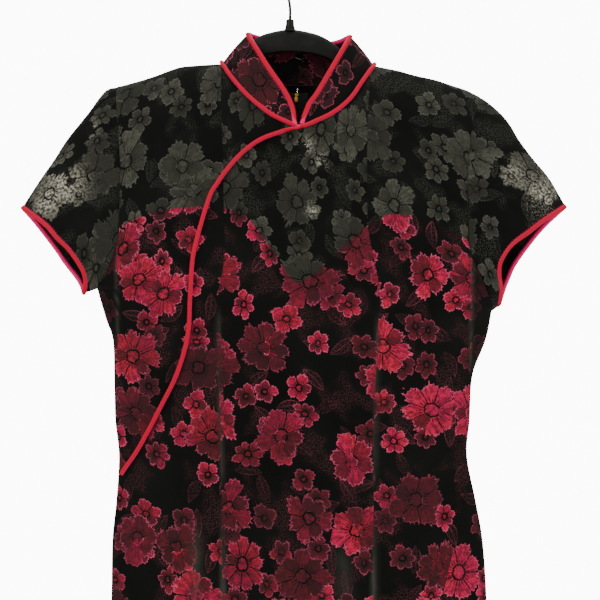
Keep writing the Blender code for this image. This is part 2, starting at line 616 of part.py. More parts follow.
def sew_cloth(group):
    """Make the panels, sleeves, collar and lining, and return their outer grids and shared normals."""
    front = panel_grid(back=False)
    back = panel_grid(back=True)
    middle = back.shape[1] // 2
    shoulder = len(SHOULDER_SHARES)
    neck_end = shoulder + NECK_STEPS
    arm_rows = len(ROWS_ABOVE)
    centre = shoulder + NECK_STEPS // 2
    base_left = np.concatenate([front[0, shoulder:centre + 1][::-1], back[0, shoulder + 1:middle + 1]])
    base_right = np.concatenate([front[0, centre:neck_end + 1], back[0, middle:neck_end][::-1]])
    grids = {
        "front": front,
        "back_left": back[:, :middle + 1],
        "back_right": back[:, middle:],
        "sleeve_left": sleeve_grid(
            front[:arm_rows, 0], back[:arm_rows, 0], SLEEVE_TOP_LEFT, CUFF_FRONT_LEFT, CUFF_BACK_LEFT,
            CUFF_INWARD_LEFT,
        ),
        "sleeve_right": sleeve_grid(
            front[:arm_rows, -1], back[:arm_rows, -1], SLEEVE_TOP_RIGHT, CUFF_FRONT_RIGHT, CUFF_BACK_RIGHT,
            CUFF_INWARD_RIGHT,
        ),
        "collar_left": collar_grid(base_left, COLLAR_TOP_LEFT, COLLAR_TOP_BACK_LEFT),
        "collar_right": collar_grid(base_right, COLLAR_TOP_RIGHT, COLLAR_TOP_BACK_RIGHT),
    }
    tubes = ("sleeve_left", "sleeve_right")
    normals = shared_normals(grids, tubes)
    for name, grid in grids.items():
        thick = COLLAR_CLOTH if name.startswith("collar") else CLOTH
        closed = name in tubes
        gap = COLLAR_SEAM_GAP if name.startswith("collar") else SEAM_GAP
        outer = draw_back(grid, closed, gap / 2)
        inner = draw_back(grid - normals[name] * thick, closed, gap / 2)
        edges, toward = SLIT_EDGES.get(name, ((), 0))
        for wall in (outer, inner):
            open_slits(wall, edges, toward)
        finish_object(name, wall_mesh(name, outer, inner, closed), VELVET, group)

    slips = {"lining_front": lining_grid(False, front), "lining_back": lining_grid(True, back)}
    slip_normals = shared_normals(slips, ())
    share = column_shares()
    loose = np.clip(LINING_EASE * share * (1 - share), 0, 1)
    offset = LINING_SEAM_OFFSET + (LINING_MID_OFFSET - LINING_SEAM_OFFSET) * loose
    for name, grid in slips.items():
        lie = slip_normals[name]
        outer = draw_back(grid - lie * offset[:, None], False, SEAM_GAP / 2)
        inner = draw_back(grid - lie * (offset + LINING_CLOTH)[:, None], False, SEAM_GAP / 2)
        edges, toward = SLIT_EDGES[name]
        for wall in (outer, inner):
            open_slits(wall, edges, toward)
        finish_object(name, wall_mesh(name, outer, inner, False), LINING_SATIN, group)
    return grids, normals


def add_trim(grids, normals, group):
    """Lay the satin piping and bindings on the seams and edges of the cloth."""
    lift = PIPING_RADIUS + TRIM_GAP
    round_neck = np.sin(np.linspace(0, np.pi, NECK_STEPS + 1))[:, None]
    seam_lift = PIPING_RADIUS + GROOVE_LIFT * (1 + round_neck)
    for side in ("left", "right"):
        collar = grids["collar_" + side]
        out = normals["collar_" + side]
        seam = collar[0] + out[0] * seam_lift
        seam[-1] += unit(seam[-2] - seam[-1]) * END_TRIM
        seam_out = out[0]
        edge = collar[2] - out[2] * COLLAR_CLOTH / 2
        edge = edge + off_edge(collar[2], collar[1], False) * BINDING_LIFT
        edge[-1] += unit(edge[-2] - edge[-1]) * END_TRIM
        mesh = tube_mesh("collar_binding_" + side, edge, out[2], BINDING_RADIUS)
        finish_object("collar_binding_" + side, mesh, SATIN, group)
        if side == "left":
            seam[0] += unit(seam[1] - seam[0]) * POINT_TRIM
            mesh = tube_mesh("neck_piping_left", seam, seam_out, PIPING_RADIUS)
            finish_object("neck_piping_left", mesh, SATIN, group)
        else:
            path = through(OPENING_PATH, np.linspace(0, 1, OPENING_STEPS))
            on_front, front_out = onto_front(grids["front"], path[:, 0], path[:, 1])
            whole = np.concatenate([seam[::-1], on_front + front_out * lift])
            whole_out = np.concatenate([seam_out[::-1], front_out])
            mesh = tube_mesh("opening_piping", whole, whole_out, PIPING_RADIUS)
            finish_object("opening_piping", mesh, SATIN, group)
    for side in ("left", "right"):
        sleeve = grids["sleeve_" + side]
        edge = sleeve[-1] - normals["sleeve_" + side][-1] * CLOTH / 2
        edge = edge + off_edge(sleeve[-1], sleeve[-2], True) * BINDING_LIFT
        cuff_out = normals["sleeve_" + side][-1]
        mesh = tube_mesh("cuff_binding_" + side, edge, cuff_out, BINDING_RADIUS, closed=True)
        finish_object("cuff_binding_" + side, mesh, SATIN, group)


def hanger_sections(grids):
    """Sections of the hanger from its left end to its right: x, upper line, height and half thickness.

    The arms lie just under the shoulder seams and drop away from them towards the neck.
    """
    columns = len(SHOULDER_SHARES) + 1
    seams = (grids["front"][0, :columns], grids["front"][0, -columns:])
    rows = []
    tables = (HANGER_NECK_LEFT, HANGER_NECK_RIGHT)
    for seam, table, end in zip(seams, tables, (HANGER_END_LEFT, HANGER_END_RIGHT)):
        side = list(table)
        start = table[-1][0]
        for x in np.linspace(start, end, ARM_SECTIONS)[1:]:
            share = (x - start) / (end - start)
            line = np.interp(x, seam[:, 0], seam[:, 2])
            drop = CLOTH + HANGER_CLEAR + HANGER_NECK_DROP * (1 - share) ** 3
            height = HANGER_ARM_HEIGHT + (HANGER_TIP_HEIGHT - HANGER_ARM_HEIGHT) * share
            side.append((x, line - drop, height, HANGER_HALF_THICK))
        rows.append(side)
    left, right = rows
    return [*left[:0:-1], *right]


def add_hanger(grids, group):
    """The plastic body: a loft of rounded sections along its arms, with a tapered boss for the hook."""
    turn = np.linspace(0, 2 * np.pi, HANGER_SIDES, endpoint=False)
    rings = []
    for x, top, height, half in hanger_sections(grids):
        z = top - height / 2 + np.sin(turn) * height / 2
        y = np.cos(turn) * half
        rings.append(np.stack([np.full(HANGER_SIDES, x), y, z], axis=-1))
    points = np.array(rings)
    steps = len(points)
    index = np.arange(steps * HANGER_SIDES).reshape(steps, HANGER_SIDES)
    index = np.column_stack([index, index[:, 0]])
    faces = np.stack([index[:-1, :-1], index[:-1, 1:], index[1:, 1:], index[1:, :-1]], axis=-1).reshape(-1, 4)
    caps = [index[0, :-1].tolist(), index[-1, :-1].tolist()]
    body = finish_object(
        "hanger_body", close_mesh("hanger_body", points.reshape(-1, 3), faces.tolist() + caps), PLASTIC, group
    )
    wide, narrow, tall = BOSS
    top = HANGER_NECK_LEFT[0][1]
    boss = bpy.data.meshes.new("hanger_boss")
    shape = bmesh.new()
    bmesh.ops.create_cone(shape, cap_ends=True, segments=16, radius1=wide, radius2=narrow, depth=tall + 0.004)
    bmesh.ops.translate(shape, verts=shape.verts, vec=(0, 0, top + tall / 2 - 0.002))
    shape.to_mesh(boss)
    shape.free()
    cone = bpy.data.objects.new("hanger_boss", boss)
    cone.hide_render = True
    cone.display_type = "WIRE"
    join = body.modifiers.new("boss", "BOOLEAN")
    join.operation = "UNION"
    join.object = cone
    return cone


def add_hook(group):
    """The wire hook: stem, a bend to the left and an open circle over the crown, with a round end."""
    circle = np.linspace(HOOK_START, HOOK_END, CROWN_KNOTS)
    reach = CROWN_RADIUS + WIRE_RADIUS
    crown = np.stack([np.cos(circle) * reach, np.sin(circle) * reach - CROWN_RADIUS], axis=-1)
    knots = np.vstack([STEM, crown])
    route = through(knots, np.linspace(0, 1, HOOK_STEPS))
    curve = bpy.data.curves.new("hanger_hook", "CURVE")
    curve.dimensions = "3D"
    curve.bevel_depth = WIRE_RADIUS
    curve.bevel_resolution = 1
    curve.use_fill_caps = True
    line = curve.splines.new("POLY")
    line.points.add(len(route) - 1)
    for point, (x, z) in zip(line.points, route):
        point.co = (x, 0.0, z, 1.0)
    finish_object("hanger_hook", curve, STEEL, group)


def add_zip(grids, normals, group, cutters):
    """Zip at the centre back: tape inside the seam, slider with its bridge outside, and the pull tab."""
    left, right = grids["back_left"], grids["back_right"]
    rows = left[:, -1, 2] > ZIP_BOTTOM
    rows[:2] = False
    seam = left[rows, -1]
    out = normals["back_left"][rows, -1]
    sides = []
    for near in (left[rows, -2], right[rows, 1]):
        width = np.linalg.norm(near - seam, axis=-1, keepdims=True)
        sides.append(seam + (near - seam) * ZIP_HALF_WIDTH / width)
    tape = np.stack([sides[0], seam, sides[1]], axis=1)
    tape_out = np.repeat(out[:, None], 3, axis=1)
    outer = tape - tape_out * ZIP_TAPE_OFFSET
    finish_object("zip_tape", wall_mesh("zip_tape", outer, outer - tape_out * ZIP_TAPE, False), TAPE, group)

    wide, thick, tall = SLIDER_SIZE
    x = float(np.interp(-SLIDER_MIDDLE, -left[:, -1, 2], left[:, -1, 0]))
    near = np.abs(left[:, -1, 2] - SLIDER_MIDDLE) < SLIDER_REACH
    face = float(left[near, -1, 1].max()) + TRIM_GAP
    slider = bpy.data.meshes.new("zip_slider")
    shape = bmesh.new()
    bmesh.ops.create_cube(shape, size=1.0)
    bmesh.ops.scale(shape, verts=shape.verts, vec=(wide, thick, tall))
    bmesh.ops.translate(shape, verts=shape.verts, vec=(x, face + thick / 2, SLIDER_MIDDLE))
    shape.to_mesh(slider)
    shape.free()
    base = finish_object("zip_slider", slider, BRASS, group)

    outside = face + thick
    arch = np.linspace(0, np.pi, ROUND_STEPS)
    half = BRIDGE_LENGTH / 2
    rise = BRIDGE_INSIDE + BRIDGE_WALL
    outer_arch = [(math.cos(a) * half, math.sin(a) * rise) for a in arch]
    inner_arch = [(math.cos(a) * (half - BRIDGE_WALL), math.sin(a) * BRIDGE_INSIDE) for a in arch[::-1]]
    foot = [(-half, -thick / 2), (-half + BRIDGE_WALL, -thick / 2)]
    other = [(half - BRIDGE_WALL, -thick / 2), (half, -thick / 2)]
    outline = outer_arch + foot + inner_arch + other
    bridge = bpy.data.meshes.new("zip_bridge")
    shape = bmesh.new()
    near_side = [shape.verts.new((x - BRIDGE_WIDTH / 2, outside + y, SLIDER_MIDDLE + z)) for z, y in outline]
    face_side = shape.faces.new(near_side)
    drawn = bmesh.ops.extrude_face_region(shape, geom=[face_side])
    moved = [item for item in drawn["geom"] if isinstance(item, bmesh.types.BMVert)]
    bmesh.ops.translate(shape, verts=moved, vec=(BRIDGE_WIDTH, 0, 0))
    bmesh.ops.recalc_face_normals(shape, faces=shape.faces)
    shape.to_mesh(bridge)
    shape.free()
    arch_cutter = bpy.data.objects.new("zip_bridge", bridge)
    arch_cutter.hide_render = True
    arch_cutter.display_type = "WIRE"
    cutters.objects.link(arch_cutter)
    join = base.modifiers.new("bridge", "BOOLEAN")
    join.operation = "UNION"
    join.object = arch_cutter

    axis_y = outside + BRIDGE_INSIDE / 2
    round_end = np.linspace(0, -np.pi, ROUND_STEPS)
    half_width = PULL_WIDTH / 2
    low = PULL_BAR / 2 - PULL_LENGTH + half_width
    tab = [(-half_width, PULL_BAR / 2), (half_width, PULL_BAR / 2)]
    tab += [(math.cos(a) * half_width, low + math.sin(a) * half_width) for a in round_end]
    hole_wide, hole_tall = PULL_HOLE
    top = -PULL_BAR / 2
    hole = [
        (-hole_wide / 2, top), (hole_wide / 2, top),
        (hole_wide / 2, top - hole_tall), (-hole_wide / 2, top - hole_tall),
    ]
    plate = bpy.data.curves.new("zip_pull", "CURVE")
    plate.dimensions = "2D"
    plate.fill_mode = "BOTH"
    plate.extrude = PULL_THICK / 2
    for outline in (tab, hole):
        line = plate.splines.new("POLY")
        line.points.add(len(outline) - 1)
        line.use_cyclic_u = True
        for point, (across, up) in zip(line.points, outline):
            point.co = (across, up, 0.0, 1.0)
    pull = finish_object("zip_pull", plate, BRASS, group)
    pull.rotation_euler = (math.pi / 2, 0, 0)
    pull.location = (x, axis_y, SLIDER_MIDDLE)


def main():
    """Build the dress and its hanger in an empty scene."""
    for old in list(bpy.data.objects):
        bpy.data.objects.remove(old, do_unlink=True)
    group = bpy.data.collections.new("midi_dress_on_hanger")
    cutters = bpy.data.collections.new("joined_shapes")
    cutters.hide_render = True
    bpy.context.scene.collection.children.link(group)
    bpy.context.scene.collection.children.link(cutters)
    grids, normals = sew_cloth(group)
    add_trim(grids, normals, group)
    cutters.objects.link(add_hanger(grids, group))
    add_hook(group)
    add_zip(grids, normals, group, cutters)


main()
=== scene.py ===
"""Looks of the midi dress on its hanger: burnt-out velvet, satin trim, slip, hanger, zip and stitches.

Everything is in metres, +Z up, the front faces -Y, and the origin is inside the crown of the hook.
Each cloth piece is worked out again with numpy from the same tables as its solid, on a finer grid.
"""

import json
import math

import bmesh
import bpy
import numpy as np
from bpy.props import FloatProperty, FloatVectorProperty, PointerProperty
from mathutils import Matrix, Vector
from mathutils.bvhtree import BVHTree

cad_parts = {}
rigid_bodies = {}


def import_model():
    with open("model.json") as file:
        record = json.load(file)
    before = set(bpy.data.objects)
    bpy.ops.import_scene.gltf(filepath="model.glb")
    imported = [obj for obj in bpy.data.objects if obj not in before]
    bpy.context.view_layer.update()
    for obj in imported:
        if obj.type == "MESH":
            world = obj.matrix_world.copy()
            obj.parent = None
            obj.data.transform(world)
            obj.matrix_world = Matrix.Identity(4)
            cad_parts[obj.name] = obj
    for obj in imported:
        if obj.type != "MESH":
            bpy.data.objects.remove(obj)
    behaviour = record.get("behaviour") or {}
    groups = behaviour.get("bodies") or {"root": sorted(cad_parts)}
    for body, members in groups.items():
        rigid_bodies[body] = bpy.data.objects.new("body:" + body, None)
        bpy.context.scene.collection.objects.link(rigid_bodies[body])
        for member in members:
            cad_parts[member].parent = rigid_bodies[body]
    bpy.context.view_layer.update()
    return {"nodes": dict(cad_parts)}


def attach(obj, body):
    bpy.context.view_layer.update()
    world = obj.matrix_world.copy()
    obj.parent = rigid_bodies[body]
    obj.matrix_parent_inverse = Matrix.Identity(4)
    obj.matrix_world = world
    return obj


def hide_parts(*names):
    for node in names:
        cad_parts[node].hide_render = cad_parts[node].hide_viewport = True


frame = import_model()

bl_info = {
    "name": "Midi dress on hanger",
    "version": (1, 0, 0),
    "blender": (4, 5, 0),
    "location": "View3D > Sidebar > Dress",
    "description": "Makes the cloth, trim and hanger of a burnt-out velvet midi dress",
    "category": "Object",
}

# Thickness of the cloths, and the gaps at seams and under trim
CLOTH = 0.0012
COLLAR_CLOTH = 0.0015
LINING_CLOTH = 0.001
SEAM_GAP = 0.0003
TRIM_GAP = 0.00035

# Heights
UNDERARM = -0.356
HEM = -1.19
LINING_HEM = -1.15
SLIT_TOP = -0.925

# Shoulder seam from the sleeve to the neck, x and z
SHOULDER_LEFT = (
    (-0.1817, -0.1324), (-0.1733, -0.1303), (-0.1544, -0.125), (-0.1386, -0.1198), (-0.125, -0.1145),
    (-0.1134, -0.111), (-0.092, -0.1092), (-0.0714, -0.108),
)
SHOULDER_RIGHT = (
    (0.1995, -0.1429), (0.1848, -0.1355), (0.169, -0.1303), (0.1533, -0.125), (0.1302, -0.1198),
    (0.1134, -0.115), (0.0882, -0.11),
)

# Neckline from the left shoulder to the right one, x and z
NECKLINE_FRONT = (
    (-0.0714, -0.108), (-0.0603, -0.1249), (-0.0455, -0.1424), (-0.0298, -0.1565), (-0.0143, -0.1672),
    (0.0105, -0.1762), (0.0291, -0.1704), (0.0477, -0.1607), (0.0633, -0.1467), (0.075, -0.1292),
    (0.0882, -0.11),
)
NECKLINE_BACK = (
    (-0.0714, -0.108), (-0.05, -0.1185), (-0.02, -0.125), (0.0105, -0.127), (0.043, -0.1258),
    (0.069, -0.12), (0.0882, -0.11),
)

# Armhole from the shoulder to the underarm, x and z
ARMHOLE_LEFT = (
    (-0.1817, -0.1324), (-0.1801, -0.1539), (-0.177, -0.1902), (-0.1756, -0.2216), (-0.1764, -0.2579),
    (-0.1773, -0.2889), (-0.1822, -0.3095), (-0.1894, -0.3249), (-0.1966, -0.3362), (-0.2027, -0.3444),
)
ARMHOLE_RIGHT = (
    (0.1995, -0.1429), (0.1917, -0.1643), (0.1866, -0.1902), (0.1842, -0.2216), (0.184, -0.2579),
    (0.185, -0.2962), (0.1903, -0.3145), (0.199, -0.3331), (0.2067, -0.3506), (0.2121, -0.3676),
)

# Side seam from the underarm to the hem, x and z
SIDE_LEFT = (
    (-0.2027, -0.3444), (-0.1932, -0.377), (-0.1862, -0.398), (-0.1848, -0.44), (-0.1838, -0.482),
    (-0.18, -0.519), (-0.1827, -0.566), (-0.1869, -0.608), (-0.188, -0.67), (-0.191, -0.76), (-0.19, -0.85),
    (-0.183, -1.0), (-0.172, -1.19),
)
SIDE_RIGHT = (
    (0.2121, -0.3676), (0.2058, -0.398), (0.192, -0.435), (0.189, -0.482), (0.1862, -0.519),
    (0.1953, -0.566), (0.2027, -0.608), (0.2069, -0.67), (0.209, -0.76), (0.206, -0.85), (0.197, -1.0),
    (0.185, -1.19),
)

# Front darts, x and z
DART_LEFT = (
    (-0.0751, -0.3458), (-0.0746, -0.397), (-0.0725, -0.4585), (-0.0705, -0.5302), (-0.0694, -0.6634),
    (-0.066, -1.19),
)
DART_RIGHT = (
    (0.0925, -0.35), (0.0894, -0.4072), (0.0874, -0.4585), (0.0863, -0.5302), (0.0858, -0.6634),
    (0.082, -1.19),
)

# Half depth of the hanging dress: height, front, back
DEPTH = (
    (-0.1, 0.018, 0.022), (-0.127, 0.021, 0.028), (-0.175, 0.028, 0.029), (-0.25, 0.033, 0.029),
    (-0.33, 0.038, 0.028), (-0.4, 0.036, 0.027), (-0.519, 0.028, 0.024), (-0.6, 0.031, 0.028),
    (-0.7, 0.034, 0.033), (-0.85, 0.031, 0.031), (-1.0, 0.028, 0.028), (-1.19, 0.026, 0.026),
)

# Section of the body: power of its oval, depth at the armholes, how far its edges are rounded
SECTION_POWER = 2.6
ARMHOLE_DEPTH = 0.025
UNDERARM_ROUND = 0.06
FRONT_SHOULDER_ROUND = 0.06
BACK_SHOULDER_ROUND = 0.03

# Ridge of the front darts: height, where each starts, how it fades in, half width
DART_RIDGE = 0.0015
DART_TOPS = (-0.28, -0.32)
DART_EASE = 0.05
DART_HALF_WIDTH = 0.012

# Side slits: how far they part at the hem, and over what height
SLIT_GAP = 0.003
SLIT_EASE = 0.1

# Soft hanging folds: share of the width, half width as such a share, height at the hem, top height
FRONT_FOLDS = (
    (0.225, 0.035, 0.005, -0.56), (0.11, 0.035, -0.0035, -0.7), (0.345, 0.05, -0.004, -0.68),
    (0.47, 0.055, 0.0055, -0.76), (0.6, 0.05, -0.004, -0.72), (0.77, 0.045, 0.006, -0.64),
    (0.895, 0.035, -0.003, -0.78),
)
BACK_FOLDS = (
    (0.15, 0.045, 0.0055, -0.64), (0.29, 0.045, -0.004, -0.72), (0.4, 0.04, 0.0045, -0.8),
    (0.62, 0.045, 0.005, -0.7), (0.74, 0.045, -0.004, -0.76), (0.87, 0.04, 0.005, -0.66),
)

# Side edges that the slits part, and the way each moves
SLIT_EDGES = {
    "front": ((0, -1), -1), "back_left": ((0,), 1), "back_right": ((-1,), 1),
    "lining_front": ((0, -1), -1), "lining_back": ((0, -1), 1),
}

# Side tucks below the underarm, where the cloth steps back: x, top height, bottom height
TUCKS = ((-0.1796, -0.29, -0.405), (0.188, -0.292, -0.442))
TUCK_STEP = 0.15
TUCK_WIDTH = 0.022

# Grid of a panel: shares of the width, with the neck between the two shoulders
SHOULDER_SHARES = (0.0, 0.012, 0.04, 0.09, 0.16, 0.23)
NECK_SHARES = (0.296, 0.71)
NECK_STEPS = 10
ROWS_ABOVE = (0.0, 0.01, 0.035, 0.08, 0.16, 0.28, 0.42, 0.57, 0.72, 0.86, 0.95, 1.0)
HEIGHTS_BELOW = (
    -0.378, -0.405, -0.44, -0.48, -0.519, -0.56, -0.61, -0.67, -0.74, -0.82, -0.915, -1.01,
    -1.105, -1.19,
)
LINING_ROWS_ABOVE = 16

# How many parts each step of the grid is split into, and the rows of a collar half
COLUMN_SPLIT = 6
ROW_SPLIT = 4
COLLAR_ROWS = 13

# Top edge of the lining, x and z
LINING_TOP_FRONT = (
    (-0.21, -0.284), (-0.1752, -0.2801), (-0.1486, -0.2677), (-0.1178, -0.2616), (-0.087, -0.2595),
    (-0.0613, -0.2626), (-0.0429, -0.2708), (-0.0285, -0.2903), (-0.0131, -0.3108), (-0.0018, -0.3303),
    (0.006, -0.339), (0.0136, -0.3365), (0.029, -0.3262), (0.0464, -0.3088), (0.0618, -0.2944),
    (0.0803, -0.279), (0.1029, -0.2677), (0.1254, -0.2688), (0.1439, -0.2739), (0.1644, -0.2831),
    (0.1829, -0.2944), (0.215, -0.3),
)
LINING_TOP_BACK = ((-0.21, -0.275), (0.008, -0.265), (0.215, -0.285))

# Distance of the lining behind the outside of the dress: at the seams, mid front, mid back
LINING_SEAM_OFFSET = 0.002
LINING_MID_OFFSET = 0.0031
LINING_BACK_OFFSET = 0.0046

# Sleeve: upper edge from the shoulder, and the middle of the cuff binding in front and behind
SLEEVE_TOP_LEFT = (
    (-0.1817, -0.1324), (-0.1922, -0.1355), (-0.2016, -0.146), (-0.209, -0.1565), (-0.2174, -0.167),
    (-0.2342, -0.188), (-0.2478, -0.209), (-0.2625, -0.23),
)
SLEEVE_TOP_RIGHT = (
    (0.1995, -0.1429), (0.211, -0.1512), (0.2226, -0.1618), (0.231, -0.1722), (0.2405, -0.188),
    (0.2562, -0.209), (0.272, -0.228),
)
CUFF_FRONT_LEFT = (
    (-0.2822, -0.2585), (-0.2557, -0.2775), (-0.2426, -0.2923), (-0.2318, -0.3028), (-0.2214, -0.3173),
    (-0.2158, -0.3287), (-0.2144, -0.3401), (-0.2168, -0.35),
)
CUFF_BACK_LEFT = (
    (-0.2822, -0.2585), (-0.2678, -0.2765), (-0.2528, -0.2969), (-0.239, -0.3165), (-0.2269, -0.3314),
    (-0.22, -0.342), (-0.2168, -0.35),
)
CUFF_FRONT_RIGHT = (
    (0.2906, -0.2572), (0.267, -0.2722), (0.2483, -0.2861), (0.2332, -0.2976), (0.2237, -0.3101),
    (0.219, -0.3216), (0.2194, -0.3345), (0.2216, -0.3443), (0.2205, -0.3645),
)
CUFF_BACK_RIGHT = (
    (0.2906, -0.2572), (0.2696, -0.2777), (0.2566, -0.2934), (0.2452, -0.3092), (0.2367, -0.3219),
    (0.2299, -0.3368), (0.225, -0.35), (0.2205, -0.3645),
)

# Way from each cuff into its sleeve, x and z, and the roundness of cuff and sleeve
CUFF_INWARD_LEFT = (0.82, 0.572)
CUFF_INWARD_RIGHT = (-0.837, 0.547)
CUFF_DEPTH = 0.016
CUFF_ROUND = 0.7
SLEEVE_BULGE = 0.006
SLEEVE_STEPS = 48

# Middle of the binding on the collar's edge, from the point of the neck round to the centre back
COLLAR_TOP_LEFT = (
    (0.0066, -0.0287, -0.1752), (0.0059, -0.028, -0.17), (0.0031, -0.0262, -0.1558),
    (-0.0056, -0.0238, -0.1381), (-0.02, -0.02, -0.1169), (-0.0361, -0.0125, -0.0908),
    (-0.0441, 0.0, -0.0761),
)
COLLAR_TOP_RIGHT = (
    (0.0112, -0.029, -0.1745), (0.0126, -0.0284, -0.1685), (0.0163, -0.0268, -0.16),
    (0.0197, -0.0254, -0.152), (0.0276, -0.0238, -0.1413), (0.0395, -0.02, -0.1207),
    (0.0548, -0.0125, -0.0941), (0.063, 0.0, -0.0785),
)
COLLAR_TOP_BACK_LEFT = ((-0.0441, 0.0, -0.0761), (-0.034, 0.012, -0.0776), (0.0105, 0.0235, -0.0874))
COLLAR_TOP_BACK_RIGHT = ((0.063, 0.0, -0.0785), (0.0475, 0.013, -0.0829), (0.0105, 0.0235, -0.0874))

# Collar: how far its middle swells, the columns near the centre back that are drawn together,
# and how far the halves lap there
COLLAR_BULGE = 0.001
COLLAR_BLEND = 9
COLLAR_LAP = 0.0004
NECK_MIDDLE = 0.0105

# Satin trim: the piping, how plump it shows and how far it stands out of its seam; how far a binding
# stands off, how far it reaches over its edge, its half width; grooves and gaps of the seams below
PIPING_RADIUS = 0.0021
PIPING_PLUMP = 1.1
PIPING_RAISED = 0.8
BINDING_LIFT = 0.0028
BINDING_WRAP = 0.002
BINDING_HALF = 0.0026
SEAM_GROOVE = 0.0005
SEAM_TOUCH = 0.00002
PIPING_SIDES = 14

# Path of the piping over the front, x and z
OPENING_PATH = (
    (-0.006, -0.1819), (-0.0257, -0.1889), (-0.0395, -0.1969), (-0.0533, -0.209), (-0.065, -0.2227),
    (-0.0747, -0.2366), (-0.0814, -0.2477), (-0.0891, -0.2715), (-0.0949, -0.2931), (-0.0991, -0.3128),
    (-0.1008, -0.3346), (-0.1021, -0.357), (-0.1034, -0.3836), (-0.1084, -0.4093), (-0.1179, -0.4367),
    (-0.1317, -0.4638), (-0.1445, -0.4882), (-0.1586, -0.5134), (-0.1702, -0.5305), (-0.1745, -0.5375),
)
OPENING_STEPS = 260

# Hanger: x from the middle, height of its upper line, height of the section, half thickness
HANGER_NECK_LEFT = (
    (0.0, -0.072, 0.024, 0.006), (-0.018, -0.0745, 0.023, 0.0058), (-0.034, -0.08, 0.0215, 0.0056),
    (-0.045, -0.0885, 0.019, 0.0044), (-0.057, -0.1035, 0.0165, 0.0036), (-0.07, -0.1175, 0.015, 0.0036),
)
HANGER_NECK_RIGHT = (
    (0.0, -0.072, 0.024, 0.006), (0.018, -0.0745, 0.023, 0.0058), (0.034, -0.0795, 0.0215, 0.0056),
    (0.05, -0.09, 0.019, 0.0044), (0.068, -0.1065, 0.0165, 0.0036), (0.086, -0.1205, 0.015, 0.0036),
)
HANGER_END_LEFT = -0.168
HANGER_END_RIGHT = 0.184
HANGER_ARM_HEIGHT = 0.013
HANGER_TIP_HEIGHT = 0.009
HANGER_HALF_THICK = 0.0042
HANGER_CLEAR = 0.0007
HANGER_NECK_DROP = 0.0075
HANGER_SIDES = 36
ARM_SECTIONS = 7
HANGER_ROUND = 0.75
TIP_ROUND = 0.0035

# Boss under the hook: radius at its foot and at its top, height, and how its top is rounded off
BOSS = (0.0066, 0.0042, 0.011)
BOSS_SINK = 0.002
BOSS_TOP = (0.98, 0.9, 0.72, 0.42)

# Hook: wire, how its end is rounded off, inner radius of the crown, and the stem below it, x and z
WIRE_RADIUS = 0.0015
WIRE_TOP = (0.98, 0.9, 0.72, 0.4)
CROWN_RADIUS = 0.016
STEM = ((0.0, -0.0606), (0.0002, -0.053), (-0.0008, -0.043), (-0.0042, -0.0355), (-0.011, -0.03))
HOOK_START = math.radians(205)
HOOK_END = math.radians(-35)
HOOK_STEPS = 200

# Zip at the centre back
ZIP_HALF_WIDTH = 0.012
ZIP_TAPE = 0.001
ZIP_TAPE_OFFSET = 0.00165
ZIP_BOTTOM = -0.7
SLIDER_MIDDLE = -0.142
COIL_HALF_WIDTH = 0.0019
COIL_HALF_HEIGHT = 0.00042
COIL_THREAD = 0.00033
COIL_END = 0.002
COIL_CLEAR = 0.0005
STOP_CLEAR = 0.0006
SLIDER_CLEAR = 0.0012
TOP_STOP = (0.0052, 0.0016, 0.003)
SLIDER_INSIDE = (0.0046, 0.0016, 0.0066)

# Height of the slow ripples, and soft creases: x and z of both ends, half width, height
RIPPLE = 0.0008
CREASES_FRONT = (
    (-0.16, -0.3, -0.085, -0.352, 0.007, 0.0013), (0.172, -0.305, 0.1, -0.355, 0.007, 0.0013),
    (-0.178, -0.47, -0.11, -0.505, 0.008, -0.0012), (0.18, -0.478, 0.115, -0.508, 0.008, -0.0012),
    (-0.176, -0.545, -0.095, -0.525, 0.009, 0.0012), (0.19, -0.55, 0.11, -0.528, 0.009, 0.0012),
    (-0.1, -0.56, -0.104, -0.76, 0.011, 0.0022), (0.045, -0.56, 0.052, -0.7, 0.012, 0.0012),
    (-0.15, -0.18, -0.12, -0.25, 0.01, -0.001), (0.16, -0.19, 0.125, -0.255, 0.01, -0.001),
)
CREASES_BACK = (
    (-0.16, -0.31, -0.08, -0.34, 0.008, 0.0012), (0.17, -0.315, 0.09, -0.345, 0.008, 0.0012),
    (-0.17, -0.5, -0.06, -0.52, 0.009, -0.0013), (0.175, -0.505, 0.075, -0.522, 0.009, -0.0013),
    (-0.165, -0.56, -0.07, -0.535, 0.01, 0.0013), (0.18, -0.565, 0.08, -0.54, 0.01, 0.0013),
    (-0.09, -0.6, -0.1, -0.82, 0.012, 0.002), (0.105, -0.58, 0.112, -0.8, 0.012, 0.002),
    (-0.12, -0.15, -0.06, -0.23, 0.011, 0.001), (0.13, -0.155, 0.07, -0.235, 0.011, 0.001),
)

# Folds of a sleeve: share from the fold line, half width, height
SLEEVE_FOLDS = ((0.16, 0.05, 0.0018), (0.33, 0.06, -0.0016), (0.52, 0.055, 0.0022), (0.74, 0.06, -0.0014))

# Hem stitches: how far above the hem; stitches lie this much on top of the cloth
HEM_TURN = 0.018
STITCH_LIFT = 0.0001

# Painted sheen along the darts, tucks and folds, where light catches the pile: x and z of both ends, half
# width, strength
PAINTED_SHEEN_RIDGES = (
    (-0.0735, -0.355, -0.0695, -0.56, 0.0022, 0.55), (-0.069, -0.545, -0.0655, -1.18, 0.0026, 0.8),
    (0.0905, -0.36, 0.087, -0.56, 0.0022, 0.55), (0.0872, -0.545, 0.0825, -1.18, 0.0028, 0.8),
    (-0.1, -0.575, -0.093, -0.76, 0.0075, 0.6), (-0.1795, -0.3, -0.1795, -0.405, 0.0015, 0.5),
    (0.188, -0.3, 0.188, -0.44, 0.0018, 0.6), (0.055, -0.6, 0.056, -0.72, 0.009, 0.3),
)
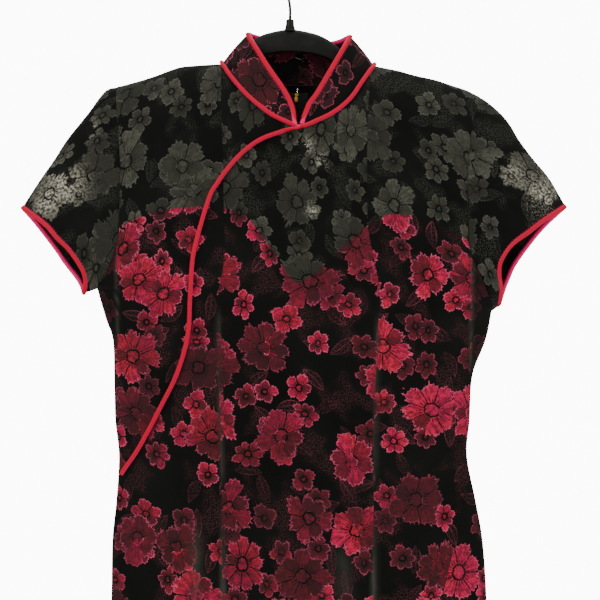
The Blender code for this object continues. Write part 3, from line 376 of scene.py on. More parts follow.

# Painted glints: places where light shining through the bare threads is painted pale: x, z, reach, height
PAINTED_GLINTS = (
    (-0.235, -0.237, 0.021, 1.0), (-0.255, -0.256, 0.011, 0.9), (0.264, -0.247, 0.02, 0.9),
    (0.23, -0.225, 0.014, 0.6), (0.016, -0.196, 0.007, 0.9), (0.033, -0.215, 0.008, 0.7),
    (0.023, -0.264, 0.006, 0.8), (-0.208, -0.178, 0.01, 0.5),
)

# Hook at the top of the centre back: along the collar, up and inwards
HOOK_LOOP = (
    (-0.0055, 0.0014, 0), (-0.004, 0.0009, 0), (-0.001, 0.0004, 0), (0.0018, 0.0, 0.0002),
    (0.0024, 0.0, 0.0008), (0.0012, 0.0, 0.0013), (-0.0008, 0.0, 0.0011),
)

# Where each piece was cut from the patterned cloth
PATTERN_MOVES = {
    "front": (0.0, 0.0), "back_left": (0.213, 0.117), "back_right": (0.527, 0.331),
    "sleeve_left": (0.741, 0.093), "sleeve_right": (0.905, 0.412),
    "collar_left": (1.113, 0.287), "collar_right": (1.331, 0.655),
}
DART_SHIFTS = ((-0.0405, 0.013), (0.0355, -0.021))

# Scatters of flowers: cell, radius, fewest petals, depth between petals, seed, share of the heart
BIG_FLOWERS = (0.078, 0.031, 6.0, 0.26, 3.1, 0.18)
SMALL_FLOWERS = (0.041, 0.016, 4.0, 0.42, 11.7, 0.16)
ONCE_ROUND = 6.283

# Stage: drop of the floor below the hem, height of the view, and softboxes: place, size, power
FLOOR_DROP = 0.09
VIEW_HEIGHT = -0.356
LIT_POINT = (0.01, 0.0, -0.45)
SOFTBOXES = {
    "left_softbox": ((-1.5, -1.6, 0.5), 1.3, 26.0),
    "right_softbox": ((1.7, -1.3, 0.2), 1.3, 18.0),
    "top_softbox": ((0.1, 0.2, 1.5), 1.6, 20.0),
    "back_softbox": ((0.4, 2.0, 0.3), 1.6, 22.0),
}


def unit(vectors):
    """Scale each vector to length 1."""
    vectors = np.asarray(vectors, float)
    return vectors / np.maximum(np.linalg.norm(vectors, axis=-1, keepdims=True), 1e-12)


def run_along(path):
    """Length of a path from its start to each of its points."""
    return np.concatenate([[0], np.cumsum(np.linalg.norm(np.diff(path, axis=0), axis=1))])


def at_run(places, run, values):
    """The values at the points of a path, read at the given lengths along it."""
    return np.stack([np.interp(places, run, values[:, axis]) for axis in range(values.shape[1])], axis=-1)


def evened(vectors, times):
    """Unit vectors along a path, each averaged with its two neighbours this many times."""
    for _ in range(times):
        vectors[1:-1] = unit(vectors[:-2] + vectors[1:-1] + vectors[2:])
    return vectors


def through(points, shares):
    """Places at shares 0..1 of the length of a Catmull-Rom curve through the given points."""
    knots = np.asarray(points, float)
    padded = np.vstack([2 * knots[0] - knots[1], knots, 2 * knots[-1] - knots[-2]])
    t = np.linspace(0, 1, 16, endpoint=False)[:, None]
    runs = []
    for a, b, c, d in zip(padded[:-3], padded[1:-2], padded[2:-1], padded[3:]):
        cubic = (3 * b - a - 3 * c + d) * t**3 + (2 * a - 5 * b + 4 * c - d) * t**2 + (c - a) * t + 2 * b
        runs.append(cubic / 2)
    dense = np.vstack([*runs, knots[-1:]])
    run = run_along(dense)
    return at_run(np.asarray(shares) * run[-1], run, dense)


def at_height(points, heights):
    """The x of a curve of (x, z) points at the given heights."""
    dense = through(points, np.linspace(0, 1, 400))[::-1]
    return np.interp(heights, dense[:, 1], dense[:, 0])


def quarter_round(share):
    """Rise from 0 to 1 along a quarter of a circle as share goes from 0 to 1."""
    return np.sqrt(1 - (1 - np.clip(share, 0, 1)) ** 2)


def smooth_step(share):
    """Ease from 0 to 1 as share goes from 0 to 1."""
    share = np.clip(share, 0, 1)
    return share * share * (3 - 2 * share)


def body_depth(x, z, back):
    """Distance from the middle plane to the cloth of the front, or of the back, at x and z.

    The section is a flat oval, -depth * sqrt(1 - |across| ** 2.6), raised to ARMHOLE_DEPTH at the
    armholes, rounded over the shoulders, and carries the darts, tucks and hanging folds.
    """
    left = at_height(ARMHOLE_LEFT + SIDE_LEFT[1:], z)
    right = at_height(ARMHOLE_RIGHT + SIDE_RIGHT[1:], z)
    share = np.clip((x - left) / (right - left), 0, 1)
    across = np.abs(2 * share - 1)
    table = np.array(DEPTH)[::-1]
    full = np.interp(z, table[:, 0], table[:, 2 if back else 1])
    edge_left = quarter_round((z - ARMHOLE_LEFT[-1][1]) / UNDERARM_ROUND)
    edge_right = quarter_round((z - ARMHOLE_RIGHT[-1][1]) / UNDERARM_ROUND)
    edge = ARMHOLE_DEPTH * (edge_left * (1 - share) + edge_right * share)
    depth = edge + (full - edge) * np.sqrt(1 - across**SECTION_POWER)
    for middle, half, height, top in BACK_FOLDS if back else FRONT_FOLDS:
        grow = np.clip((top - z) / (top - HEM), 0, 1)
        depth = depth + height * grow * np.exp(-(((share - middle) / half) ** 2))
    if not back:
        for tuck_x, top, bottom in TUCKS:
            inside = np.sin(np.pi * np.clip((top - z) / (top - bottom), 0, 1))
            beyond = smooth_step((np.abs(x) - abs(tuck_x)) / TUCK_WIDTH) * (np.sign(x) == np.sign(tuck_x))
            depth = depth * (1 - TUCK_STEP * inside * beyond)
        for dart, top in zip((DART_LEFT, DART_RIGHT), DART_TOPS):
            off = (x - at_height(dart, z)) / DART_HALF_WIDTH
            depth = depth + DART_RIDGE * smooth_step((top - z) / DART_EASE) * np.exp(-off * off)
    fade = 1 - across**4
    depth = depth + fade * creases(x, z, CREASES_BACK if back else CREASES_FRONT)
    depth = depth + RIPPLE * fade * ripple(x, z, 4.0 if back else 0.7)
    ridge = np.array(SHOULDER_LEFT + SHOULDER_RIGHT[::-1])
    below = np.interp(x, ridge[:, 0], ridge[:, 1]) - z
    return depth * quarter_round(below / (BACK_SHOULDER_ROUND if back else FRONT_SHOULDER_ROUND))


def finer(values, split):
    """The values with split - 1 even steps added between each two."""
    values = np.asarray(values, float)
    places = np.linspace(0, len(values) - 1, (len(values) - 1) * split + 1)
    return np.interp(places, np.arange(len(values)), values)


def column_shares():
    """Shares of the width at the columns of a panel, close together at the sides."""
    shoulder = np.array(SHOULDER_SHARES)
    neck = np.linspace(*NECK_SHARES, NECK_STEPS + 1)
    mirrored = 1 - shoulder[::-1] / NECK_SHARES[0] * (1 - NECK_SHARES[1])
    return finer(np.concatenate([shoulder, neck, mirrored]), COLUMN_SPLIT)


def spread(shares, left, dart_left, dart_right, right):
    """The x at each share of the width, with the darts at the two neck shares."""
    low, high = NECK_SHARES
    near = left + (dart_left - left) * shares / low
    middle = dart_left + (dart_right - dart_left) * (shares - low) / (high - low)
    far = dart_right + (right - dart_right) * (shares - high) / (1 - high)
    return np.where(shares < low, near, np.where(shares > high, far, middle))


def upper_point(share, row, neckline):
    """The x and z of the bodice at a share of the width and a row from shoulder (0) to underarm (1).

    A Coons patch between the shoulders with the neckline, the two armholes and the underarm line.
    """
    low, high = NECK_SHARES

    def top(at):
        """The upper edge: shoulder, neckline and shoulder, each over its own share."""
        left = through(SHOULDER_LEFT, np.clip(at / low, 0, 1))
        middle = through(neckline, np.clip((at - low) / (high - low), 0, 1))
        right = through(SHOULDER_RIGHT, np.clip((1 - at) / (1 - high), 0, 1))
        return np.where((at <= low)[..., None], left, np.where((at >= high)[..., None], right, middle))

    under_left = np.array(ARMHOLE_LEFT[-1])
    under_right = np.array(ARMHOLE_RIGHT[-1])
    bottom_z = under_left[1] + (under_right[1] - under_left[1]) * share
    bottom_x = spread(share, under_left[0], DART_LEFT[0][0], DART_RIGHT[0][0], under_right[0])
    u = share[..., None]
    v = row[..., None]
    sides = (1 - u) * through(ARMHOLE_LEFT, row) + u * through(ARMHOLE_RIGHT, row)
    ends = (1 - v) * top(share) + v * np.stack([bottom_x, bottom_z], axis=-1)
    corners_top = (1 - u) * np.array(SHOULDER_LEFT[0]) + u * np.array(SHOULDER_RIGHT[0])
    corners_bottom = (1 - u) * under_left + u * under_right
    return sides + ends - (1 - v) * corners_top - v * corners_bottom


def lower_point(share, drop):
    """The x and z of the dress below the underarm, at a share of the width and of the drop to the hem."""
    under_left = ARMHOLE_LEFT[-1][1]
    under_right = ARMHOLE_RIGHT[-1][1]
    start = under_left + (under_right - under_left) * share
    z = start + (HEM - start) * drop
    x = spread(
        share,
        at_height(SIDE_LEFT, under_left + (HEM - under_left) * drop),
        at_height(DART_LEFT, z),
        at_height(DART_RIGHT, z),
        at_height(SIDE_RIGHT, under_right + (HEM - under_right) * drop),
    )
    return np.stack([x, z], axis=-1)


def onto_body(flat, back):
    """Give each (x, z) point of a front or back grid its depth, with the seams on the middle plane."""
    depth = body_depth(flat[..., 0], flat[..., 1], back)
    y = depth if back else -depth
    return np.stack([flat[..., 0], y, flat[..., 1]], axis=-1)


def open_slits(grid, edges, toward):
    """Part the side edges of a front or back below the top of the slits by up to SLIT_GAP."""
    for edge in edges:
        opening = smooth_step((SLIT_TOP - grid[:, edge, 2]) / SLIT_EASE) * SLIT_GAP / 2
        grid[:, edge, 1] += toward * opening


def panel_grid(back):
    """Outer points of the front or back from the shoulders and neckline to the hem, row by row."""
    shares = column_shares()
    above = finer(ROWS_ABOVE, ROW_SPLIT)
    below = finer((np.array((UNDERARM, *HEIGHTS_BELOW)) - UNDERARM) / (HEM - UNDERARM), 2 * ROW_SPLIT)[1:]
    share, row = np.meshgrid(shares, above)
    upper = upper_point(share, row, NECKLINE_BACK if back else NECKLINE_FRONT)
    share, drop = np.meshgrid(shares, below)
    grid = onto_body(np.concatenate([upper, lower_point(share, drop)]), back)
    shoulder = len(SHOULDER_SHARES) * COLUMN_SPLIT + 1
    grid[0, :shoulder, 1] = 0
    grid[0, -shoulder:, 1] = 0
    grid[len(above) - 1:, (0, -1), 1] = 0
    return grid


def lining_grid(back, panel):
    """Points on the panel for the slip: its own top edge, then the panel's rows down to its hem."""
    top_edge = np.array(LINING_TOP_BACK if back else LINING_TOP_FRONT)
    shares = column_shares()
    share, row = np.meshgrid(shares, np.linspace(0, 1, 101))
    upper = upper_point(share, row, NECKLINE_BACK if back else NECKLINE_FRONT)
    over = upper[..., 1] - np.interp(upper[..., 0], top_edge[:, 0], top_edge[:, 1])
    starts = np.array([np.interp(0, -over[:, column], row[:, column]) for column in range(len(shares))])
    rows = starts + (1 - starts) * np.linspace(0, 1, LINING_ROWS_ABOVE, endpoint=False)[:, None]
    share = np.broadcast_to(shares, rows.shape)
    above = onto_body(upper_point(share, rows, NECKLINE_BACK if back else NECKLINE_FRONT), back)
    grid = np.concatenate([above, panel[(len(ROWS_ABOVE) - 1) * ROW_SPLIT:]])
    kept = int((grid[:, 0, 2] > LINING_HEM).sum())
    return grid[:kept + 1]


def sleeve_grid(front_edge, back_edge, top, cuff_front, cuff_back, inward):
    """Rings of a sleeve from the armhole to the cuff, each from the top round the front and back.

    Each side is a Coons patch between the armhole, the cuff and the two fold lines; its depth runs
    evenly from the armhole's to the cuff's, with a soft bulge between.
    """
    shares = finer(ROWS_ABOVE, ROW_SPLIT)
    back_off = np.array(inward) * BINDING_LIFT
    upper_end = np.array(cuff_front[0]) + back_off
    along = np.linspace(0, 1, SLEEVE_STEPS + 1)
    upper = through((*top, tuple(upper_end)), along)
    sides = []
    for edge, cuff, sign in ((front_edge, cuff_front, -1), (back_edge, cuff_back, 1)):
        hole = edge[:, (0, 2)]
        end = through(cuff, shares) + back_off
        lower = hole[-1] + (end[-1] - hole[-1]) * along[:, None]
        u = along[:, None, None]
        v = shares[None, :, None]
        flat = (1 - u) * hole[None] + u * end[None] + (1 - v) * upper[:, None] + v * lower[:, None]
        flat = flat - (1 - v) * ((1 - u) * hole[0] + u * end[0]) - v * ((1 - u) * hole[-1] + u * end[-1])
        cuff_y = sign * CUFF_DEPTH * np.sin(np.pi * shares) ** CUFF_ROUND
        swell = np.sin(np.pi * along)[:, None] * np.sin(np.pi * shares)[None]
        y = (1 - along)[:, None] * edge[None, :, 1] + along[:, None] * cuff_y[None]
        y = y + sign * SLEEVE_BULGE * swell
        fade = np.clip(np.sin(np.pi * along), 0, 1)[:, None] ** 0.7
        for middle, half, height in SLEEVE_FOLDS:
            off = (shares[None] - middle - 0.06 * np.sin(3 * along)[:, None]) / half
            y = y + sign * height * fade * np.exp(-off * off)
        sides.append(np.stack([flat[..., 0], y, flat[..., 1]], axis=-1))
    front, back = sides
    front[:, (0, -1), 1] = 0
    return np.concatenate([front, back[:, -2:0:-1]], axis=1)


def off_edge(edge, within, closed):
    """Unit directions that leave an edge square to it, away from the next row within the cloth."""
    if closed:
        along = unit(np.roll(edge, -1, axis=0) - np.roll(edge, 1, axis=0))
    else:
        along = unit(np.gradient(edge, axis=0))
    away = edge - within
    return unit(away - along * (away * along).sum(axis=-1, keepdims=True))


def steady_away(top, base):
    """off_edge, held near the point of the neck, where the edge meets the seam, and evened out."""
    away = off_edge(top, base, False)
    hold = len(away) // 5
    away[:hold] = away[hold]
    return evened(away, 8)


def collar_grid(base, top_front, top_back):
    """Rows of half a stand collar from its neck seam up, from the point of the neck to the back."""
    shares = np.linspace(0, 1, NECK_STEPS * COLUMN_SPLIT // 2 + 1)
    front = through(top_front, shares)
    back = through(top_back, shares)
    top = np.concatenate([front, back[1:]])
    top = top - steady_away(top, base) * BINDING_LIFT
    out = unit(np.stack([base[:, 0] - NECK_MIDDLE, base[:, 1], np.zeros(len(base))], axis=-1))
    up = np.linspace(0, 1, COLLAR_ROWS)[:, None, None]
    return base + (top - base) * up + out * COLLAR_BULGE * 4 * up * (1 - up)


def grid_normals(grid, closed):
    """Unit normals of a grid, pointing away from the middle of its rows."""
    down = np.gradient(grid, axis=0)
    if closed:
        across = np.roll(grid, -1, axis=1) - np.roll(grid, 1, axis=1)
    else:
        across = np.gradient(grid, axis=1)
    normals = unit(np.cross(across, down))
    centre = grid.mean(axis=1, keepdims=True)
    if not closed:
        centre[..., 1] = 0
    return normals * np.sign(((grid - centre) * normals).sum(axis=-1).mean())


def shared_normals(grids, closed):
    """Normals of all grids, made one and the same where their points meet at a seam."""
    normals = [grid_normals(grid, name in closed).reshape(-1, 3) for name, grid in grids.items()]
    points = np.round(np.vstack([grid.reshape(-1, 3) for grid in grids.values()]) * 1e6)
    _, group = np.unique(points, axis=0, return_inverse=True)
    group = group.reshape(-1)
    total = np.zeros((group.max() + 1, 3))
    np.add.at(total, group, np.vstack(normals))
    welded = unit(total)[group]
    sizes = np.cumsum([len(part) for part in normals])[:-1]
    return {
        name: part.reshape(grids[name].shape)
        for name, part in zip(grids, np.split(welded, sizes))
    }


def draw_back(grid, closed, by):
    """Move the open edges of a grid inwards along its surface, which opens the seams."""
    moved = grid.copy()
    moved[0] += unit(grid[1] - grid[0]) * by
    moved[-1] += unit(grid[-2] - grid[-1]) * by
    if not closed:
        moved[:, 0] += unit(grid[:, 1] - grid[:, 0]) * by
        moved[:, -1] += unit(grid[:, -2] - grid[:, -1]) * by
    return moved


def creases(x, z, lines):
    """Rise of the soft creases: along each line from a to b, height * exp(-(off / half) ** 2), eased
    at its ends, with the off-distance bent by a slow sine so that no crease runs straight."""
    rise = np.zeros_like(x)
    for ax, az, bx, bz, half, height in lines:
        length = math.hypot(bx - ax, bz - az)
        dx, dz = (bx - ax) / length, (bz - az) / length
        along = (x - ax) * dx + (z - az) * dz
        off = (z - az) * dx - (x - ax) * dz + 0.004 * np.sin(along * 55 + ax * 90)
        ease = smooth_step(along / (0.35 * length)) * smooth_step((length - along) / (0.35 * length))
        rise += height * ease * np.exp(-((off / half) ** 2))
    return rise


def ripple(x, z, seed):
    """Slow uneven waves of the hanging cloth: a sum of four sines with turned directions, from -1 to 1."""
    wave = np.zeros_like(x)
    for number in range(4):
        turn = seed + 1.9 * number
        pitch = 2 * np.pi / (0.055 + 0.028 * number)
        wave += np.sin((x * math.cos(turn) + z * math.sin(turn) * 0.45) * pitch + 2.3 * number + seed)
    return wave / 4


def arc_places(grid, start):
    """Cloth places of a grid in metres: u is the run along each row from its middle, v the run up
    each column from the start row, so that a pattern keeps its size on the curved cloth."""
    across = np.linalg.norm(np.diff(grid, axis=1), axis=-1)
    u = np.concatenate([np.zeros((len(grid), 1)), np.cumsum(across, axis=1)], axis=1)
    u = u - u[:, u.shape[1] // 2][:, None]
    down = np.linalg.norm(np.diff(grid, axis=0), axis=-1)
    v = np.concatenate([np.zeros((1, grid.shape[1])), np.cumsum(down, axis=0)])
    return np.stack([u, v[start] - v], axis=-1)


def sleeve_places(grid):
    """Cloth places of a flat-hanging sleeve: x, turned round behind, and z less most of the depth."""
    behind = np.where(grid[..., 1] > 0, -1, 1)
    return np.stack([grid[..., 0] * behind, grid[..., 2] - 0.8 * np.abs(grid[..., 1])], axis=-1)


def painted_glint_values(points):
    """How much glint is painted at each point: the sum of height * exp(-(off / reach) ** 2) in front."""
    total = np.zeros(len(points))
    for x, z, reach, height in PAINTED_GLINTS:
        off = ((points[:, 0] - x) ** 2 + (points[:, 2] - z) ** 2) / reach**2
        total += height * np.exp(-off) * (points[:, 1] < 0)
    return total


def painted_sheen_values(points):
    """How much sheen is painted on the front: on each ridge strength * exp(-(off / half) ** 2), eased at its
    ends."""
    total = np.zeros(len(points))
    for ax, az, bx, bz, half, strength in PAINTED_SHEEN_RIDGES:
        along = (points[:, 2] - az) / (bz - az)
        off = points[:, 0] - (ax + (bx - ax) * along)
        ease = smooth_step(along / 0.18) * smooth_step((1 - along) / 0.18)
        total = np.maximum(total, strength * ease * np.exp(-((off / half) ** 2)) * (points[:, 1] < 0))
    return total


def tuck_values(points):
    """Distance beyond the side tucks of the front, in metres, and below zero elsewhere."""
    beyond = np.full(len(points), -1.0)
    for x, top, bottom in TUCKS:
        same_side = np.sign(points[:, 0]) == np.sign(x)
        off = np.where(same_side, np.abs(points[:, 0]) - abs(x), -1.0)
        inside = np.minimum(top - points[:, 2], points[:, 2] - bottom)
        beyond = np.maximum(beyond, np.where(points[:, 1] <= 0, np.minimum(off, inside), -1.0))
    return beyond


def grid_faces(rows, columns):
    """Four corner numbers of each face of a rows x columns grid."""
    return index_faces(np.arange(rows * columns).reshape(rows, columns))


def index_faces(index, closed=False):
    """Four corner numbers of each face of a grid of point numbers, whose rows may be closed rings."""
    if closed:
        index = np.column_stack([index, index[:, 0]])
    corners = [index[:-1, :-1], index[:-1, 1:], index[1:, 1:], index[1:, :-1]]
    return np.stack(corners, axis=-1).reshape(-1, 4)


def surface_area(grid):
    """Area of a grid: half the length of the cross product of each face's diagonals, summed."""
    one = grid[1:, 1:] - grid[:-1, :-1]
    other = grid[1:, :-1] - grid[:-1, 1:]
    return float(np.linalg.norm(np.cross(one, other), axis=-1).sum() / 2)


def make_mesh(name, points, faces, places=None, marks=(), sharp=40):
    """A mesh from arrays of points and faces, with cloth places at its face corners as a UV map,
    named point values, outward normals and smooth shading."""
    mesh = bpy.data.meshes.new(name)
    mesh.from_pydata(points.tolist(), [], faces if isinstance(faces, list) else faces.tolist())
    for mark, values in marks:
        values = np.ravel(values).astype(np.float32)
        mesh.attributes.new(mark, "FLOAT", "POINT").data.foreach_set("value", values)
    if places is not None:
        mesh.uv_layers.new(name="cloth").data.foreach_set("uv", np.ravel(places).astype(np.float32))
    shape = bmesh.new()
    shape.from_mesh(mesh)
    bmesh.ops.recalc_face_normals(shape, faces=shape.faces)
    shape.to_mesh(mesh)
    shape.free()
    mesh.shade_smooth()
    mesh.set_sharp_from_angle(angle=math.radians(sharp))
    return mesh


def cloth_mesh(name, outer, inner, places, shift=None, above=None):
    """A cloth wall between two grids, closed along its rims; the reverse is the second material.

    A tube comes with its first column repeated at its end, and those points are merged. shift moves
    the pattern of each face column, which cuts it at the darts and tucks.
    """
    rows, columns = outer.shape[:2]
    count = rows * columns
    skin = grid_faces(rows, columns)
    corner = places.reshape(-1, 2)
    skin_places = corner[skin]
    if shift is not None:
        skin_places = skin_places + np.tile(shift, (rows - 1, 1))[:, None, :]
    closed = np.allclose(outer[:, 0], outer[:, -1], atol=1e-9)
    index = np.arange(count).reshape(rows, columns)
    edges = [index[0], index[-1]] + ([] if closed else [index[:, 0], index[:, -1]])
    rims = [np.stack([edge[:-1], edge[1:], edge[1:] + count, edge[:-1] + count], axis=-1) for edge in edges]
    rims = np.concatenate(rims)
    faces = np.concatenate([skin, skin[:, ::-1] + count, rims])
    all_places = np.concatenate([skin_places, skin_places[:, ::-1], corner[rims % count]])
    points = np.concatenate([outer.reshape(-1, 3), inner.reshape(-1, 3)])
    height = np.ones((rows, columns)) if above is None else above
    front_only = tuck_values(points) if name == "front_cloth" else np.full(len(points), -1.0)
    # Point values: height over the slip, painted glints, painted sheen, and how far beyond the tucks
    marks = (("above_lining", np.tile(height.ravel(), 2)), ("glint", painted_glint_values(points)),
             ("pressed", painted_sheen_values(points)), ("tuck", front_only))
    if closed:
        keep = np.tile(np.where(index % columns == columns - 1, index - columns + 1, index).ravel(), 2)
        keep[count:] += count
        used, back = np.unique(keep, return_inverse=True)
        faces = back.reshape(-1)[faces]
        points = points[used]
        marks = tuple((mark, values[used]) for mark, values in marks)
    mesh = make_mesh(name, points, faces, all_places, marks)
    reverse = np.zeros(len(faces), np.int32)
    reverse[len(skin):2 * len(skin)] = 1
    mesh.polygons.foreach_set("material_index", reverse)
    return mesh


def tube_mesh(name, path, out, radius, closed=False, sides=PIPING_SIDES, flat=1.0):
    """A tube along a path: at each point a circle, flattened by flat along out. UV is the run along
    the path in metres and the turn from the outward side, from -0.5 to 0.5."""
    if closed:
        along = unit(np.roll(path, -1, axis=0) - np.roll(path, 1, axis=0))
        path, out, along = (np.vstack([part, part[:1]]) for part in (path, out, along))
    else:
        along = unit(np.gradient(path, axis=0))
    side = unit(np.cross(along, out))
    lift = np.cross(side, along)
    turn = np.linspace(-np.pi, np.pi, sides + 1)
    rings = flat * np.cos(turn)[None, :, None] * lift[:, None] + np.sin(turn)[None, :, None] * side[:, None]
    points = path[:, None] + np.reshape(radius, (-1, 1, 1)) * rings
    steps = len(path)
    places = np.stack(np.broadcast_arrays(run_along(path)[:, None], turn[None] / (2 * np.pi)), axis=-1)
    places = places.reshape(-1, 2)
    faces = grid_faces(steps, sides + 1)
    face_places = places[faces]
    keep = np.arange(steps * (sides + 1)).reshape(steps, sides + 1)
    keep[:, -1] = keep[:, 0]
    if closed:
        keep[-1] = keep[0]
    used, back = np.unique(keep, return_inverse=True)
    faces = back.reshape(-1)[faces].tolist()
    points = points.reshape(-1, 3)[used]
    if not closed:
        rings_at = back.reshape(steps, sides + 1)
        for ring in (rings_at[0, :-1], rings_at[-1, :-1]):
            faces.append(ring.tolist())
            face_places = np.concatenate([face_places.reshape(-1, 2), places[:1].repeat(sides, axis=0)])
    return make_mesh(name, points, faces, face_places.reshape(-1, 2), sharp=60)


def stitch_mesh(name, path, out, pitch, length, radius=0.00022):
    """A row of thread stitches: each a short bowed tube of 4 sides that dips into the cloth at both
    ends."""
    run = run_along(path)
    starts = np.arange(pitch, run[-1] - pitch, pitch)
    share = np.linspace(0, 1, 5)
    at = starts[:, None] + (share[None] - 0.5) * length
    place = at_run(at, run, path)
    lift = unit(at_run(at, run, out))
    along = unit(np.gradient(place, axis=1))
    side = unit(np.cross(along, lift))
    centre = place + lift * (np.sin(np.pi * share) * 1.6 - 0.9)[None, :, None] * radius
    turn = np.arange(4) * np.pi / 2
    thick = radius * (0.45 + 0.55 * np.sin(np.pi * share))[None, :, None, None]
    rings = np.cos(turn)[:, None] * lift[:, :, None] + np.sin(turn)[:, None] * side[:, :, None]
    points = centre[:, :, None] + thick * rings
    index = np.arange(points[..., 0].size).reshape(len(starts), 5, 4)
    wrap = np.concatenate([index, index[:, :, :1]], axis=2)
    faces = np.stack([wrap[:, :-1, :-1], wrap[:, :-1, 1:], wrap[:, 1:, 1:], wrap[:, 1:, :-1]], axis=-1)
    caps = np.concatenate([index[:, 0], index[:, -1]])
    faces = np.concatenate([faces.reshape(-1, 4), caps])
    return make_mesh(name, points.reshape(-1, 3), faces)


def onto_front(panel, x, z):
    """Points on the outside of the front grid at each x and z, and its outward directions, evened out."""
    faces = grid_faces(*panel.shape[:2])
    tree = BVHTree.FromPolygons([Vector(point) for point in panel.reshape(-1, 3)], faces.tolist())
    hits = [tree.ray_cast(Vector((px, -1.0, pz)), Vector((0, 1, 0))) for px, pz in zip(x, z)]
    points = np.array([hit[0] for hit in hits])
    out = np.array([hit[1] * (-1 if hit[1].y > 0 else 1) for hit in hits])
    padded = np.vstack([out[:1], out, out[-1:]])
    return points, unit(padded[:-2] + padded[1:-1] + padded[2:])


def hanger_sections(grids):
    """Sections of the hanger from its left end to its right: x, upper line, height and half thickness.

    The arms lie just under the shoulder seams and drop away from them towards the neck.
    """
    columns = len(SHOULDER_SHARES) * COLUMN_SPLIT + 1
    seams = (grids["front"][0, :columns], grids["front"][0, -columns:])
    rows = []
    tables = (HANGER_NECK_LEFT, HANGER_NECK_RIGHT)
    for seam, table, end in zip(seams, tables, (HANGER_END_LEFT, HANGER_END_RIGHT)):
        side = list(table)
        start = table[-1][0]
        for x in np.linspace(start, end, ARM_SECTIONS)[1:]:
            share = (x - start) / (end - start)
            line = np.interp(x, seam[:, 0], seam[:, 2])
            drop = CLOTH + HANGER_CLEAR + HANGER_NECK_DROP * (1 - share) ** 3
            height = HANGER_ARM_HEIGHT + (HANGER_TIP_HEIGHT - HANGER_ARM_HEIGHT) * share
            side.append((x, line - drop, height, HANGER_HALF_THICK))
        rows.append(side)
    left, right = rows
    return [*left[:0:-1], *right]


def colour(code):
    """Linear RGBA of a hex colour."""
    parts = [int(code[place:place + 2], 16) / 255 for place in (0, 2, 4)]
    return (*[part / 12.92 if part <= 0.04045 else ((part + 0.055) / 1.055) ** 2.4 for part in parts], 1.0)


class Wire:
    """A number's socket in a material; arithmetic on it adds Math nodes."""

    def __init__(self, look, socket):
        self.look = look
        self.socket = socket

    def do(self, operation, *others, clamp=False):
        node = self.look.node("ShaderNodeMath", {"operation": operation, "use_clamp": clamp},
                              dict(enumerate((self, *others))))
        return Wire(self.look, node.outputs[0])

    def most(self, other):
        """The larger of the two."""
        return self.do("MAXIMUM", other)

    def limited(self, by=1.0):
        """This times by, held between 0 and 1."""
        return self.do("MULTIPLY", by, clamp=True)

    def __add__(self, other):
        return self.do("ADD", other)

    __radd__ = __add__

    def __mul__(self, other):
        return self.do("MULTIPLY", other)

    __rmul__ = __mul__

    def __sub__(self, other):
        return self.do("SUBTRACT", other)

    def __rsub__(self, other):
        return self.do("MULTIPLY", -1.0) + other

    def __truediv__(self, other):
        return self.do("DIVIDE", other)

    def __pow__(self, other):
        return self.do("POWER", other)

    def __lt__(self, other):
        return self.do("LESS_THAN", other)

    def __gt__(self, other):
        return self.do("GREATER_THAN", other)

    def __abs__(self):
        return self.do("ABSOLUTE")

    def ramp(self, low, high):
        """0 below low and 1 above high, evenly between."""
        node = self.look.node("ShaderNodeMapRange", {"clamp": True}, {0: self, 1: low, 2: high})
        return Wire(self.look, node.outputs[0])


class Look:
    """A material's nodes, made from one method, with its Principled shader."""

    def __init__(self, name):
        self.material = bpy.data.materials.new(name)
        self.material.use_nodes = True
        self.tree = self.material.node_tree
        self.shader = self.tree.nodes["Principled BSDF"]

    def node(self, kind, settings=None, values=None):
        """A node of this type, its settings first, then values or links for its inputs."""
        made = self.tree.nodes.new(kind)
        for key, value in (settings or {}).items():
            setattr(made, key, value)
        for key, value in (values or {}).items():
            self.feed(made.inputs[key], value)
        return made

    def feed(self, socket, value):
        """Link or set one socket."""
        if isinstance(value, Wire):
            value = value.socket
        if isinstance(value, bpy.types.NodeSocket):
            self.tree.links.new(value, socket)
        else:
            socket.default_value = value

    def finish(self, **values):
        """Feed the Principled shader's inputs by name, with _ for a space."""
        for key, value in values.items():
            self.feed(self.shader.inputs[key.replace("_", " ")], value)
        return self.material

    def wire(self, node, output=0):
        """One output of a node, as a number."""
        return Wire(self, node.outputs[output])

    def mark(self, name):
        """A named point value of the mesh."""
        return self.wire(self.node("ShaderNodeAttribute", {"attribute_name": name}), 2)

    def mix(self, share, one, other):
        """Blend of two colours."""
        node = self.node("ShaderNodeMix", {"data_type": "RGBA"}, {0: share, 6: one, 7: other})
        return node.outputs[2]

    def split(self, vector):
        """The three numbers of a vector or colour."""
        node = self.node("ShaderNodeSeparateXYZ", None, {0: vector})
        return self.wire(node, 0), self.wire(node, 1), self.wire(node, 2)

    def join(self, x, y, z=0.0):
        """A vector of three numbers."""
        return self.node("ShaderNodeCombineXYZ", None, {0: x, 1: y, 2: z}).outputs[0]

    def noise(self, place, scale, detail=2.0, rough=0.5):
        """Cloudy noise from 0 to 1, scale cells a metre."""
        node = self.node("ShaderNodeTexNoise", None,
                         {"Vector": place, "Scale": scale, "Detail": detail, "Roughness": rough})
        return self.wire(node)

    def place(self):
        """The piece's own cloth places."""
        return self.node("ShaderNodeUVMap", {"uv_map": "cloth"}).outputs[0]

    def objects(self):
        """The place in the object's own metres."""
        return self.node("ShaderNodeTexCoord").outputs["Object"]

    def bump(self, height, distance, strength=1.0):
        """The normal of a surface raised by height times distance, in metres."""
        values = {"Height": height, "Distance": distance, "Strength": strength}
        return self.node("ShaderNodeBump", None, values).outputs[0]


